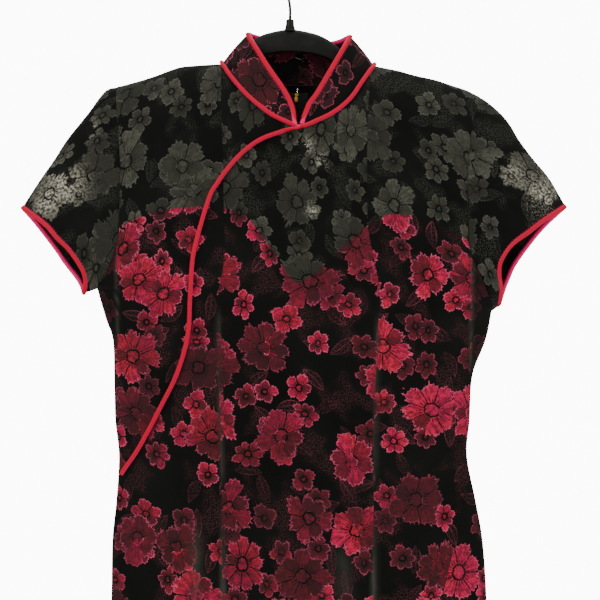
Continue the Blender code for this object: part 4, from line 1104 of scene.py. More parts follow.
def scatter(look, place, cell, step, randomness):
    """A Voronoi scatter: the moved place, x and y from the middle of each cell, and the cell's dice."""
    moved = look.node("ShaderNodeVectorMath", {"operation": "ADD"}, {0: place, 1: step}).outputs[0]
    cells = look.node("ShaderNodeTexVoronoi", {"voronoi_dimensions": "2D"},
                      {"Vector": moved, "Scale": 1 / cell, "Randomness": randomness})
    local = look.node("ShaderNodeVectorMath", {"operation": "SUBTRACT"},
                      {0: moved, 1: cells.outputs["Position"]})
    x, y, _ = look.split(local.outputs[0])
    return moved, x, y, look.split(cells.outputs["Color"])


def flowers(look, place, cell, radius, fewest, deep, seed, disc):
    """One scatter of flowers: how open the pile is, the pale edge, the fill's strength and shade.

    Each cell of a Voronoi scatter holds a flower with its own turn, size and number of petals. The
    petals end at R = radius * (1 - deep + deep * |cos(n * angle / 2)| ** 0.6), with notched tips.
    """
    moved, x, y, (red, green, blue) = scatter(look, place, cell, (seed * 1.37, seed * 0.71, 0), 0.82)
    y = y * (0.8 + 0.35 * blue)
    away = (x * x + y * y).do("SQRT")
    angle = y.do("ARCTAN2", x) + red * ONCE_ROUND
    count = (green * 3.99).do("FLOOR") + fewest
    turn = angle * count * 0.5
    lobe = abs(turn.do("COSINE"))
    petal = (turn / math.pi + 0.5).do("FLOOR")
    dice = look.node("ShaderNodeTexWhiteNoise", {"noise_dimensions": "2D"},
                     {"Vector": look.join(petal, (red + green) * 37.0)})
    chance = look.wire(dice)
    wobble = look.noise(moved, 150.0, 3.0, 0.65) - 0.5
    bend = look.noise(moved, 48.0, 1.0, 0.5) - 0.5
    notch = abs((turn * 5.0).do("SINE"))
    size = radius * (0.74 + 0.34 * blue) * (0.8 + 0.3 * chance)
    uneven = 1.0 - 0.08 * notch + 0.55 * wobble + 0.35 * bend
    inside = size * (1.0 - deep + deep * lobe ** 0.6) * uneven - away
    open_pile = inside.ramp(-0.0002, 0.0003)
    pale = (1.0 - inside.ramp(0.0006, 0.0017)) * open_pile
    gap = (away * lobe * 2.0 / count + 0.002 * wobble).ramp(0.0001, 0.0008)
    gap = 1.0 - (1.0 - gap) * (0.25 + 0.75 * (chance > 0.45))
    inner = size * disc
    ring = abs(away - inner * 1.35 + wobble * 0.0035).ramp(0.0006, 0.0013)
    stub = ((angle * 23.0).do("SINE") + wobble * 3.0) > 0.35
    stub = stub * (1.0 - abs(away - inner * 2.0).ramp(0.001, 0.003))
    heart = 1.0 - (away - inner).ramp(-0.0002, 0.0002)
    solid = 1.0 - (1.0 - gap) * (1.0 - heart) * (away - inner * 1.5).ramp(0.0, 0.002)
    open_pile = open_pile * ring * (1.0 - 0.55 * stub) * solid
    streak = look.noise(look.join(angle * 9.0, away * 90.0, red * 9.0), 1.0, 2.0, 0.6)
    shade = (green * 7.31 + red * 3.0).do("FRACT").ramp(0.2, 0.75) * 0.85 + 0.15
    worn = (chance.ramp(0.3, 0.42) * 0.7 + 0.3) * (0.45 + 0.55 * streak.ramp(0.4, 0.56)) * shade
    return open_pile, pale * (0.35 + 0.65 * shade), worn


def leaves(look, place, cell, length, seed):
    """Serrated leaf outlines with a midrib and side veins: half width = w * (1 - (x / l) ** 2)."""
    _, x0, y0, (red, green, blue) = scatter(look, place, cell, (seed, -seed * 0.6, 0), 0.8)
    turn = red * ONCE_ROUND
    x = x0 * turn.do("COSINE") + y0 * turn.do("SINE")
    y = y0 * turn.do("COSINE") - x0 * turn.do("SINE") + x * x * 9.0 - 0.001
    teeth = abs((x * 900.0).do("SINE"))
    half = (1.0 - (x / length) ** 2.0) * length * 0.36 * (1.0 + 0.16 * teeth)
    inside = half - abs(y)
    leaf = inside.ramp(-0.0002, 0.0003) * (green > 0.3)
    edge = leaf * (1.0 - inside.ramp(0.0005, 0.0011))
    rib = leaf * (1.0 - abs(y).ramp(0.0003, 0.0007))
    vein = leaf * (1.0 - abs(((x - abs(y) * 0.8) * 210.0).do("FRACT") - 0.5).ramp(0.05, 0.12)) * 0.6
    return leaf, (edge * (0.45 + 0.55 * blue)).most(rib * 0.55).most(vein * 0.5)


def velvet(name, ground, reverse=False, dim=1.0):
    """Burnt-out velvet: dark pile, with the sheer cloth of flowers and leaves where it is burnt away.

    Over the slip the sheer cloth shows it, pink red; above the slip's edge it is olive grey.
    """
    look = Look(name)
    place = look.place()
    lined = 1.0 - look.mark("above_lining").ramp(-0.0004, 0.0004)
    tucked = look.mark("tuck").ramp(-0.0004, 0.0004)
    # Painted glints and painted sheen, read from the mesh's point values
    shine, flat = look.mark("glint"), look.mark("pressed")
    big = flowers(look, place, *BIG_FLOWERS)
    small = flowers(look, place, *SMALL_FLOWERS)
    leaf, drawn = leaves(look, place, 0.036, 0.015, 5.3)
    fine = look.noise(place, 820.0, 2.0, 0.7)
    speckle = look.wire(look.node("ShaderNodeTexVoronoi", {"voronoi_dimensions": "2D"},
                                  {"Vector": place, "Scale": 620.0, "Randomness": 1.0}))
    cloud = look.noise(place, 14.0, 2.0, 0.5)

    # The open pile: flowers, small ones between the big ones, leaves as lines and patches of dots
    patch = look.noise(place, 26.0, 2.0, 0.5).ramp(0.5, 0.6)
    free = 1.0 - big[0].most(big[1])
    small_open, small_pale = small[0] * free, small[1] * free
    clear = free * (1.0 - small[0])
    dots = (1.0 - speckle.ramp(0.22, 0.38)) * clear * patch.most(leaf * 0.8) * 0.85
    faint = look.noise(place, 55.0, 2.0, 0.6).ramp(0.35, 0.65)
    full = look.noise(place, 7.5, 2.0, 0.5).ramp(0.38, 0.52)
    lines = drawn * clear * (0.15 + 0.75 * faint)
    marks = dots.most(lines)
    bare = big[0].most(small_open)
    worn = (big[2] * big[0] + small[2] * small_open) * dim * (0.45 + 0.55 * full)
    pale = big[1].most(small_pale).most(lines * 0.6)
    blotch = look.noise(place, 170.0, 3.0, 0.7).ramp(0.38, 0.56)
    grain = (0.45 + 0.8 * fine.ramp(0.34, 0.6)) * (1.0 - 0.45 * (speckle < 0.17)) * (0.5 + 0.55 * blotch)
    filled = (worn * grain).limited()

    pile = look.mix(cloud.ramp(0.35, 0.7), colour(ground), colour("0c0d0a"))
    uneven = 0.55 + 0.9 * (look.noise(place, 60.0, 2.0, 0.6) - 0.5)
    # Painted sheen: the pile turns pale grey along the ridges and folds where light catches it
    pile = look.mix(flat.limited(uneven), pile, colour("54544a"))
    fill = look.mix(look.noise(place, 21.0, 2.0, 0.5).ramp(0.42, 0.6), colour("c41c4c"), colour("cf2342"))
    pink = look.mix(filled, colour("2b1516"), fill)
    pink = look.mix(marks, pink, colour("4e2a2c"))
    pink = look.mix(pale * (0.35 + 0.35 * full), pink, colour("e65a80"))
    olive = look.mix(filled, colour("24241d"), colour("4a4a3f"))
    olive = look.mix(marks, olive, colour("3b3b33"))
    olive = look.mix(pale * 0.45, olive, colour("62625a"))
    # Painted glints: pale silver where light shines through the bare threads
    glint = shine.limited(look.noise(place, 340.0, 2.0, 0.7).ramp(0.42, 0.6)) * (0.4 + fine)
    olive = look.mix(glint.limited(0.95), olive, colour("c4beaa"))
    sheer = look.mix(lined, olive, pink)
    # What shows of the sheer: the burnt-out places and a faint painted glint, less where sheen is painted
    shown = bare.most(lines).most(dots).most(shine * 0.12 * fine)
    shown = shown.limited(0.55 if reverse else 1.0) * (1.0 - 0.9 * tucked)
    base = look.mix(shown * (1.0 - 0.75 * flat.limited()), pile, sheer)

    nap = look.noise(place, 1500.0, 2.0, 0.6)
    mesh = (place_weave(look, place, 0.0011) - 0.5) * bare * 0.5
    raised = (1.0 - bare) * 0.8 + nap * 0.25 + mesh + cloud * 1.5
    return look.finish(
        Base_Color=base, Roughness=0.78 - 0.18 * bare, Normal=look.bump(raised, 0.0004, 0.55),
        Sheen_Weight=0.06 if reverse else 0.2, Sheen_Roughness=0.34, Sheen_Tint=colour("8f9088"),
        Specular_IOR_Level=0.1,
    )


def place_weave(look, place, pitch):
    """Plain weave: the product of two sine waves a thread apart, from 0 to 1."""
    x, y, _ = look.split(place)
    warp = (x * (2 * math.pi / pitch)).do("SINE")
    weft = (y * (2 * math.pi / pitch)).do("SINE")
    return warp * weft * 0.5 + 0.5


def satin(name, deep, bright):
    """Glossy satin strip cut on the bias: fine slanting threads, with painted sheen that makes it paler
    along both sides.
    """
    look = Look(name)
    place = look.place()
    run, turn, _ = look.split(place)
    slant = ((run * 900.0 + turn * 14.0) * (2 * math.pi)).do("SINE")
    uneven = look.noise(look.join(run * 60.0, turn * 3.0), 1.0, 3.0, 0.6)
    # Painted sheen: the colour turns to the bright one along both sides of the strip
    side = abs(turn).ramp(0.11, 0.24)
    base = look.mix(side * (0.5 + 0.5 * uneven), colour(deep), colour(bright))
    bump = look.bump(slant * 0.3 + uneven * 2.0, 0.0002, 0.5)
    return look.finish(Base_Color=base, Roughness=0.44 + 0.16 * uneven, Normal=bump, Specular_IOR_Level=0.14)


def slip_satin(name):
    """The slip: pink red lining satin with a fine weave and slow creases."""
    look = Look(name)
    place = look.place()
    weave = place_weave(look, place, 0.0006)
    slow = look.noise(place, 12.0, 3.0, 0.55)
    base = look.mix(slow.ramp(0.35, 0.7), colour("c02846"), colour("e0405f"))
    bump = look.bump(weave * 0.15 + slow * 4.0, 0.0005, 0.6)
    return look.finish(Base_Color=base, Roughness=0.42 + 0.12 * slow, Normal=bump, Sheen_Weight=0.15)


def tape_weave(name):
    """Twilled black tape of the zip."""
    look = Look(name)
    x, y, _ = look.split(look.place())
    twill = ((x + y) * (2 * math.pi / 0.0012)).do("SINE") * 0.5 + 0.5
    base = look.mix(twill, colour("0d0d0c"), colour("2a2a28"))
    return look.finish(Base_Color=base, Roughness=0.75 + 0.1 * twill, Normal=look.bump(twill, 0.0002))


def moulded(name, deep, worn, roughness):
    """Moulded plastic: a faint orange peel, with rubbed places a little paler."""
    look = Look(name)
    place = look.objects()
    peel = look.noise(place, 900.0, 2.0, 0.5)
    rub = look.noise(place, 35.0, 4.0, 0.65)
    base = look.mix(rub.ramp(0.45, 0.72), colour(deep), colour(worn))
    return look.finish(Base_Color=base, Roughness=roughness + 0.22 * rub.ramp(0.4, 0.75),
                       Normal=look.bump(peel, 0.0001, 0.5), Specular_IOR_Level=0.22)


def metal(name, deep, bright, roughness):
    """Drawn or cast metal: long fine scratches and darker tarnish in places."""
    look = Look(name)
    place = look.objects()
    x, y, z = look.split(place)
    scratch = look.noise(look.join(x * 2600.0, y * 2600.0, z * 260.0), 1.0, 2.0, 0.6)
    tarnish = look.noise(place, 120.0, 3.0, 0.6)
    base = look.mix(tarnish.ramp(0.38, 0.66), colour(bright), colour(deep))
    return look.finish(Base_Color=base, Roughness=roughness + 0.25 * tarnish.ramp(0.35, 0.7), Metallic=1.0,
                       Normal=look.bump(scratch, 0.00008, 0.6))


def thread(name, deep, bright):
    """Sewing thread: two plies that twist round each other, drawn by fine slanting noise."""
    look = Look(name)
    place = look.objects()
    ply = look.noise(place, 3200.0, 1.0, 0.5)
    return look.finish(Base_Color=look.mix(ply, colour(deep), colour(bright)), Roughness=0.5 + 0.2 * ply,
                       Normal=look.bump(ply, 0.0001))


class Cloth:
    """The fine grids of all cloth pieces and their shared normals, worked out once."""

    def __init__(self):
        front = panel_grid(back=False)
        back = panel_grid(back=True)
        split = COLUMN_SPLIT
        middle = back.shape[1] // 2
        shoulder = len(SHOULDER_SHARES) * split
        neck_end = shoulder + NECK_STEPS * split
        arm = (len(ROWS_ABOVE) - 1) * ROW_SPLIT + 1
        self.arm = arm
        base_left = np.concatenate([front[0, shoulder:middle + 1][::-1], back[0, shoulder + 1:middle + 1]])
        base_right = np.concatenate([front[0, middle:neck_end + 1], back[0, middle:neck_end][::-1]])
        self.grids = {
            "front": front,
            "back_left": back[:, :middle + 1],
            "back_right": back[:, middle:],
            "sleeve_left": sleeve_grid(front[:arm, 0], back[:arm, 0], SLEEVE_TOP_LEFT, CUFF_FRONT_LEFT,
                                       CUFF_BACK_LEFT, CUFF_INWARD_LEFT),
            "sleeve_right": sleeve_grid(front[:arm, -1], back[:arm, -1], SLEEVE_TOP_RIGHT, CUFF_FRONT_RIGHT,
                                        CUFF_BACK_RIGHT, CUFF_INWARD_RIGHT),
            "collar_left": collar_grid(base_left, COLLAR_TOP_LEFT, COLLAR_TOP_BACK_LEFT),
            "collar_right": collar_grid(base_right, COLLAR_TOP_RIGHT, COLLAR_TOP_BACK_RIGHT),
        }
        halves = self.grids["collar_left"], self.grids["collar_right"]
        middle_back = (halves[0][:, -1] + halves[1][:, -1]) / 2
        for half in halves:
            blend_in = np.linspace(0, 1, COLLAR_BLEND)[None, :, None]
            meeting = middle_back + unit(half[:, -1] - half[:, -5]) * COLLAR_LAP
            half[:, -COLLAR_BLEND:] += (meeting - half[:, -1])[:, None] * blend_in
        self.normals = shared_normals(self.grids, ("sleeve_left", "sleeve_right"))
        self.slips = {"lining_front": lining_grid(False, front), "lining_back": lining_grid(True, back)}
        self.slip_normals = shared_normals(self.slips, ())

    def walls(self, name):
        """Outer and inner grids of a piece, with its seams opened a little and its slits parted."""
        grid, lie = self.grids[name], self.normals[name]
        thick = COLLAR_CLOTH if name.startswith("collar") else CLOTH
        closed = name.startswith("sleeve")
        outer, inner = (draw_back(wall, closed, SEAM_TOUCH) for wall in (grid, grid - lie * thick))
        outer[0] -= lie[0] * SEAM_GROOVE
        if not closed:
            outer[:, 0] -= lie[:, 0] * SEAM_GROOVE
            outer[:, -1] -= lie[:, -1] * SEAM_GROOVE
        edges, toward = SLIT_EDGES.get(name, ((), 0))
        for wall in (outer, inner):
            open_slits(wall, edges, toward)
        return outer, inner


cloth = Cloth()


def above_lining(grid, top_edge):
    """Height of each point over the slip's top edge."""
    edge = np.array(top_edge)
    return grid[..., 2] - np.interp(grid[..., 0], edge[:, 0], edge[:, 1])


def add_piece(name, mesh, looks, slot, *nodes):
    """Put a finished mesh in the scene with its materials, tied to the dress, hiding the nodes it stands
    for; slot is not used.
    """
    for look in looks:
        mesh.materials.append(look_of(look))
    made = bpy.data.objects.new(name, mesh)
    bpy.context.scene.collection.objects.link(made)
    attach(made, "dress")
    if nodes:
        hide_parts(*nodes)


def declare(grid):
    """Work out the area of a piece's grid; nothing is done with it."""
    area = surface_area(grid)


# Looks: the function that makes each, with its colours; None is the piping colour picked by the user
LOOKS = {
    "velvet_right_side": (velvet, "040503"),
    "velvet_wrong_side": (velvet, "0e0f0c", True),
    "collar_velvet": (velvet, "040503", False, 0.07),
    # Painted shade: the inside of the collar, its flowers at half strength on a darker ground
    "collar_inside": (velvet, "0a0a08", True, 0.5),
    # its second colour is the painted sheen along the strip's sides
    "crimson_satin": (satin, None, "f02a78"),
    "slip_satin": (slip_satin,),
    "zip_tape_weave": (tape_weave,),
    "hanger_plastic": (moulded, "090906", "16160f", 0.42),
    "hook_wire": (metal, "141412", "4b4a44", 0.34),
    "zip_brass": (metal, "6a4d1c", "c79a4b", 0.28),
    "eye_wire": (metal, "3c3c3a", "a8a7a2", 0.25),
    "crimson_thread": (thread, "a00c30", "e02a55"),
    "black_thread": (thread, "0c0c0b", "2c2c2a"),
}
VELVET = ("velvet_right_side", "velvet_wrong_side")
made_looks = {}


def look_of(name):
    """The material of this name, made once."""
    if name not in made_looks:
        maker, *values = LOOKS[name]
        piping = hex_of(bpy.context.scene.dress_colours.piping)
        made_looks[name] = maker(name, *[piping if value is None else value for value in values])
    return made_looks[name]


def hex_of(rgb):
    """Hex code of a colour picked in display values."""
    return "".join(f"{round(min(max(part, 0), 1) * 255):02x}" for part in rgb)


def front_shift(columns):
    """How far the pattern of each face column is moved: it changes at the two darts."""
    shares = column_shares()
    middle = (shares[:-1] + shares[1:]) / 2
    low, high = NECK_SHARES
    shift = np.zeros((columns - 1, 2))
    shift[middle < low], shift[middle > high] = DART_SHIFTS
    return shift


class DressSizes(bpy.types.PropertyGroup):
    """Sizes of the sewing and of the view."""

    stitch_pitch: FloatProperty(name="Stitch pitch", description="Distance from stitch to stitch",
                                default=0.0032, min=0.002, unit="LENGTH")
    stitch_length: FloatProperty(name="Stitch length", description="Length of one stitch",
                                 default=0.0021, min=0.001, unit="LENGTH")
    coil_pitch: FloatProperty(name="Zip pitch", description="Distance from turn to turn of the zip's coil",
                              default=0.0014, min=0.0008, unit="LENGTH")
    view_distance: FloatProperty(name="View distance", description="From the camera to the middle plane",
                                 default=1.5, min=0.5, unit="LENGTH")
    view_width: FloatProperty(name="View width", description="Width seen at the middle plane",
                              default=0.63, min=0.1, unit="LENGTH")


class DressColours(bpy.types.PropertyGroup):
    """Colours that a user would change."""

    piping: FloatVectorProperty(name="Piping", description="Colour of the satin piping and bindings",
                                default=(0.76, 0.0, 0.16), size=3, subtype="COLOR_GAMMA", min=0, max=1)
    floor: FloatVectorProperty(name="Floor", description="Colour of the floor",
                               default=(0.8, 0.8, 0.79), size=3, subtype="COLOR", min=0, max=1)


class DRESS_OT_panels(bpy.types.Operator):
    """Make the front and the two halves of the back"""

    bl_idname = "dress.panels"
    bl_label = "Front and back"

    def execute(self, context):
        edges = {"front": LINING_TOP_FRONT, "back_left": LINING_TOP_BACK, "back_right": LINING_TOP_BACK}
        for name, top_edge in edges.items():
            places = arc_places(cloth.grids[name], cloth.arm - 1) + np.array(PATTERN_MOVES[name])
            outer, inner = cloth.walls(name)
            shift = front_shift(outer.shape[1]) if name == "front" else None
            mesh = cloth_mesh(name + "_cloth", outer, inner, places, shift, above_lining(outer, top_edge))
            add_piece(name + "_cloth", mesh, VELVET, "velvet", name)
        return {"FINISHED"}


class DRESS_OT_sleeves(bpy.types.Operator):
    """Make the two bell sleeves"""

    bl_idname = "dress.sleeves"
    bl_label = "Sleeves"

    def execute(self, context):
        under = cloth.arm - 1
        for name in ("sleeve_left", "sleeve_right"):
            rolled = [np.concatenate([grid[:, under:], grid[:, :under + 1]], axis=1)
                      for grid in cloth.walls(name)]
            places = sleeve_places(rolled[0]) + np.array(PATTERN_MOVES[name])
            add_piece(name + "_cloth", cloth_mesh(name + "_cloth", *rolled, places), VELVET, "velvet", name)
        return {"FINISHED"}


class DRESS_OT_collar(bpy.types.Operator):
    """Make the two halves of the stand collar"""

    bl_idname = "dress.collar"
    bl_label = "Collar"

    def execute(self, context):
        for name in ("collar_left", "collar_right"):
            outer, inner = cloth.walls(name)
            places = arc_places(outer, 0) + np.array(PATTERN_MOVES[name])
            mesh = cloth_mesh(name + "_cloth", outer, inner, places, None, np.full(outer.shape[:2], -1.0))
            add_piece(name + "_cloth", mesh, ("collar_velvet", "collar_inside"), "velvet", name)
        return {"FINISHED"}


class DRESS_OT_slip(bpy.types.Operator):
    """Make the slip lining under the front and back"""

    bl_idname = "dress.slip"
    bl_label = "Slip lining"

    def execute(self, context):
        share = column_shares()
        loose = np.clip(16 * share * (1 - share), 0, 1)[:, None]
        for name, middle in (("lining_front", LINING_MID_OFFSET), ("lining_back", LINING_BACK_OFFSET)):
            grid, lie = cloth.slips[name], cloth.slip_normals[name]
            offset = LINING_SEAM_OFFSET + (middle - LINING_SEAM_OFFSET) * loose
            outer, inner = (draw_back(grid - lie * depth, False, SEAM_GAP / 2)
                            for depth in (offset, offset + LINING_CLOTH))
            edges, toward = SLIT_EDGES[name]
            for wall in (outer, inner):
                open_slits(wall, edges, toward)
            mesh = cloth_mesh(name + "_cloth", outer, inner, arc_places(outer, 0))
            add_piece(name + "_cloth", mesh, ("slip_satin", "slip_satin"), "lining", name)
        return {"FINISHED"}


def trim_paths():
    """Paths and outward directions of all trim: bindings on collar and cuffs, neck and front piping."""
    paths = {}
    lift = PIPING_RADIUS + TRIM_GAP
    seam_lift = PIPING_RADIUS * PIPING_RAISED
    for side in ("left", "right"):
        collar, out = cloth.grids["collar_" + side], cloth.normals["collar_" + side]
        seam = collar[0] + out[0] * seam_lift
        edge = collar[-1] - out[-1] * COLLAR_CLOTH / 2
        edge = edge + steady_away(collar[-1], collar[0]) * BINDING_WRAP
        paths["collar_binding_" + side] = (edge, out[-1], False)
        if side == "left":
            paths["neck_piping_left"] = (seam, out[0], False)
        else:
            path = through(OPENING_PATH, np.linspace(0, 1, OPENING_STEPS))
            on_front, front_out = onto_front(cloth.grids["front"], path[:, 0], path[:, 1])
            front_out = evened(front_out, 6)
            whole = np.concatenate([seam[::-1], on_front + front_out * lift])
            paths["opening_piping"] = (whole, np.concatenate([out[0][::-1], front_out]), False)
    for side in ("left", "right"):
        sleeve, out = cloth.grids["sleeve_" + side], cloth.normals["sleeve_" + side]
        edge = sleeve[-1] - out[-1] * CLOTH / 2
        edge = edge + off_edge(sleeve[-1], sleeve[-2], True) * BINDING_WRAP
        paths["cuff_binding_" + side] = (edge, out[-1], True)
    return paths


class DRESS_OT_trim(bpy.types.Operator):
    """Make the satin piping and bindings"""

    bl_idname = "dress.trim"
    bl_label = "Piping and bindings"

    def execute(self, context):
        for name, (path, out, closed) in trim_paths().items():
            radius = PIPING_RADIUS * PIPING_PLUMP if "piping" in name else BINDING_HALF
            mesh = tube_mesh(name + "_satin", path, out, radius, closed)
            add_piece(name + "_satin", mesh, ("crimson_satin",), "satin", name)
        return {"FINISHED"}


def forward(count):
    """The direction to the front, this many times."""
    return np.tile((0.0, -1.0, 0.0), (count, 1))


class DRESS_OT_hanger(bpy.types.Operator):
    """Make the plastic body of the hanger and its wire hook"""

    bl_idname = "dress.hanger"
    bl_label = "Hanger"

    def execute(self, context):
        knots = np.array(hanger_sections(cloth.grids))
        x, top, height, half = through(knots, np.linspace(0, 1, 180)).T
        turn = np.linspace(0, 2 * np.pi, HANGER_SIDES, endpoint=False)
        flat = np.sign(np.cos(turn)) * np.abs(np.cos(turn)) ** HANGER_ROUND
        rings = np.stack([
            np.repeat(x[:, None], HANGER_SIDES, axis=1),
            flat[None] * half[:, None],
            (top - height / 2)[:, None] + np.sin(turn)[None] * height[:, None] / 2,
        ], axis=-1)
        ends = []
        for ring, way in ((rings[0], -1), (rings[-1], 1)):
            centre = ring.mean(axis=0)
            ends.append(np.array([
                centre + (ring - centre) * size + (way * (1 - size**2) ** 0.5 * TIP_ROUND, 0, 0)
                for size in np.linspace(1, 0, 7)[1:-1] ** 0.5
            ]))
        rings = np.concatenate([ends[0][::-1], rings, ends[1]])
        index = np.arange(len(rings) * HANGER_SIDES).reshape(len(rings), HANGER_SIDES)
        faces = [*index_faces(index, True).tolist(), index[0].tolist(), index[-1].tolist()]
        mesh = make_mesh("hanger_arms", rings.reshape(-1, 3), faces)
        add_piece("hanger_arms", mesh, ("hanger_plastic",), "plastic", "hanger_body")
        foot, head, tall = BOSS
        low = HANGER_NECK_LEFT[0][1] - BOSS_SINK
        share = np.linspace(0, 1, 24)
        radius = head + (foot - head) * (1 - share) ** 3
        radius[-4:] *= BOSS_TOP
        path = np.stack([np.zeros(24), np.zeros(24), low + share * (tall + BOSS_SINK)], axis=-1)
        boss = tube_mesh("hanger_boss", path, forward(24), radius, sides=32)
        add_piece("hanger_boss", boss, ("hanger_plastic",), "plastic")
        circle = np.linspace(HOOK_START, HOOK_END, 9)
        reach = CROWN_RADIUS + WIRE_RADIUS
        crown = np.stack([np.cos(circle) * reach, np.sin(circle) * reach - CROWN_RADIUS], axis=-1)
        route = through(np.vstack([STEM, crown]), np.linspace(0, 1, HOOK_STEPS))
        path = np.stack([route[:, 0], np.zeros(HOOK_STEPS), route[:, 1]], axis=-1)
        radius = np.full(HOOK_STEPS, WIRE_RADIUS)
        radius[-4:] *= WIRE_TOP
        wire = tube_mesh("hook_wire", path, forward(HOOK_STEPS), radius, sides=18)
        add_piece("hook_wire", wire, ("hook_wire",), "wire", "hanger_hook")
        return {"FINISHED"}


def add_block(name, centre, size):
    """A small cast brass block with rounded edges: a superellipsoid of power 4."""
    u, v = np.meshgrid(np.linspace(0, 2 * np.pi, 25)[:-1], np.linspace(-np.pi / 2, np.pi / 2, 13)[1:-1])
    parts = (np.cos(v), np.cos(u)), (np.cos(v), np.sin(u)), (np.sin(v), np.ones_like(u))
    bent = [[np.sign(part) * np.abs(part) ** 0.5 for part in pair] for pair in parts]
    points = np.stack([one * other for one, other in bent], axis=-1) * np.array(size) / 2 + centre
    index = np.arange(points[..., 0].size).reshape(points.shape[:2])
    faces = [*index_faces(index, True).tolist(), index[0].tolist(), index[-1].tolist()]
    add_piece(name, make_mesh(name, points.reshape(-1, 3), faces), ("zip_brass",), "brass")


class DRESS_OT_zip(bpy.types.Operator):
    """Make the zip's tape, coil and stop, and finish its slider and pull"""

    bl_idname = "dress.zip"
    bl_label = "Zip"

    def execute(self, context):
        left, right = cloth.grids["back_left"], cloth.grids["back_right"]
        rows = left[:, -1, 2] > ZIP_BOTTOM
        rows[:2 * ROW_SPLIT] = False
        seam, out = left[rows, -1], cloth.normals["back_left"][rows, -1]
        near = 2 * COLUMN_SPLIT
        sides = []
        for beside in (left[rows, -near], right[rows, near - 1]):
            away = unit(beside - seam)
            sides.append(away - out * (away * out).sum(axis=-1, keepdims=True))
        share = np.linspace(-1, 1, 9)
        spread_out = [seam + unit(sides[0 if s < 0 else 1]) * abs(s) * ZIP_HALF_WIDTH for s in share]
        tape = np.stack(spread_out, axis=1) - out[:, None] * ZIP_TAPE_OFFSET
        mesh = cloth_mesh("zip_tape_cloth", tape, tape - out[:, None] * ZIP_TAPE, arc_places(tape, 0))
        add_piece("zip_tape_cloth", mesh, ("zip_tape_weave", "zip_tape_weave"), "tape", "zip_tape")
        run = run_along(seam)
        turns = int((run[-1] - 2 * COIL_END) / context.scene.dress_sizes.coil_pitch)
        at = np.linspace(COIL_END, run[-1] - COIL_END, turns * 8 + 1)
        middle, lie, across = (at_run(at, run, values) for values in (seam, out, sides[1]))
        lie, across = unit(lie), unit(across)
        angle = np.arange(len(at)) * np.pi / 4
        inside = ZIP_TAPE_OFFSET + ZIP_TAPE + COIL_CLEAR
        coil = middle - lie * inside + across * np.cos(angle)[:, None] * COIL_HALF_WIDTH
        coil = coil + lie * np.sin(angle)[:, None] * COIL_HALF_HEIGHT
        mesh = tube_mesh("zip_coil", coil, lie, COIL_THREAD, sides=5)
        add_piece("zip_coil", mesh, ("black_thread",), "tape")
        start = middle[6] - lie[6] * (inside + STOP_CLEAR) + np.array([0, 0, 0.001])
        add_block("zip_top_stop", start, TOP_STOP)
        down = middle[np.argmin(np.abs(middle[:, 2] - SLIDER_MIDDLE))] - lie[0] * (inside + SLIDER_CLEAR)
        add_block("zip_slider_inside", down, SLIDER_INSIDE)
        for node in ("zip_slider", "zip_pull"):
            for slot in bpy.data.objects[frame["nodes"][node].name].material_slots:
                slot.material = look_of("zip_brass")
        return {"FINISHED"}

class DRESS_OT_sewing(bpy.types.Operator):
    """Make the rows of stitches, and the hook and eye at the top of the centre back"""

    bl_idname = "dress.sewing"
    bl_label = "Stitches, hook and eye"

    def execute(self, context):
        sizes = context.scene.dress_sizes
        rows = {}
        for side in ("left", "right"):
            for part in ("collar", "sleeve"):
                grid, lie = cloth.grids[f"{part}_{side}"], cloth.normals[f"{part}_{side}"]
                path, out = grid[-1] + unit(grid[-2] - grid[-1]) * BINDING_HALF * 0.5, lie[-1]
                if part == "sleeve":
                    path, out = np.vstack([path, path[:1]]), np.vstack([out, out[:1]])
                rows[f"{part}_{side}_stitches"] = (path, out, "crimson_thread")
        for name in ("front", "back_left", "back_right"):
            grid, lie = cloth.grids[name], cloth.normals[name]
            share = HEM_TURN / np.linalg.norm(grid[-1] - grid[-2], axis=-1, keepdims=True)
            path = grid[-1] + (grid[-2] - grid[-1]) * share
            rows[f"{name}_hem_stitches"] = (path[2:-2], lie[-1][2:-2], "black_thread")
        for name, (path, out, look) in rows.items():
            mesh = stitch_mesh(name, path + out * STITCH_LIFT, out, sizes.stitch_pitch, sizes.stitch_length)
            add_piece(name, mesh, (look,), "velvet")
        grid, lie = cloth.grids["collar_left"], cloth.normals["collar_left"]
        base = grid[9, -1] - lie[9, -1] * (COLLAR_CLOTH + 0.0012)
        along, up, away = unit(grid[9, -1] - grid[9, -4]), unit(grid[12, -1] - grid[6, -1]), -lie[9, -1]
        turn = np.linspace(0.35, 2 * np.pi - 0.35, 60)
        eye = base + along * 0.004
        eye = eye - np.cos(turn)[:, None] * along * 0.0024 + np.sin(turn)[:, None] * up * 0.0017
        route = through(HOOK_LOOP, np.linspace(0, 1, 60))
        hook = base + route[:, :1] * along + route[:, 1:2] * up + route[:, 2:] * away
        for name, path, radius in (("eye_loop", eye, 0.00035), ("hook_loop", hook, 0.00038)):
            mesh = tube_mesh(name, path, np.tile(away, (60, 1)), radius, sides=10)
            add_piece(name, mesh, ("eye_wire",), "wire")
        return {"FINISHED"}


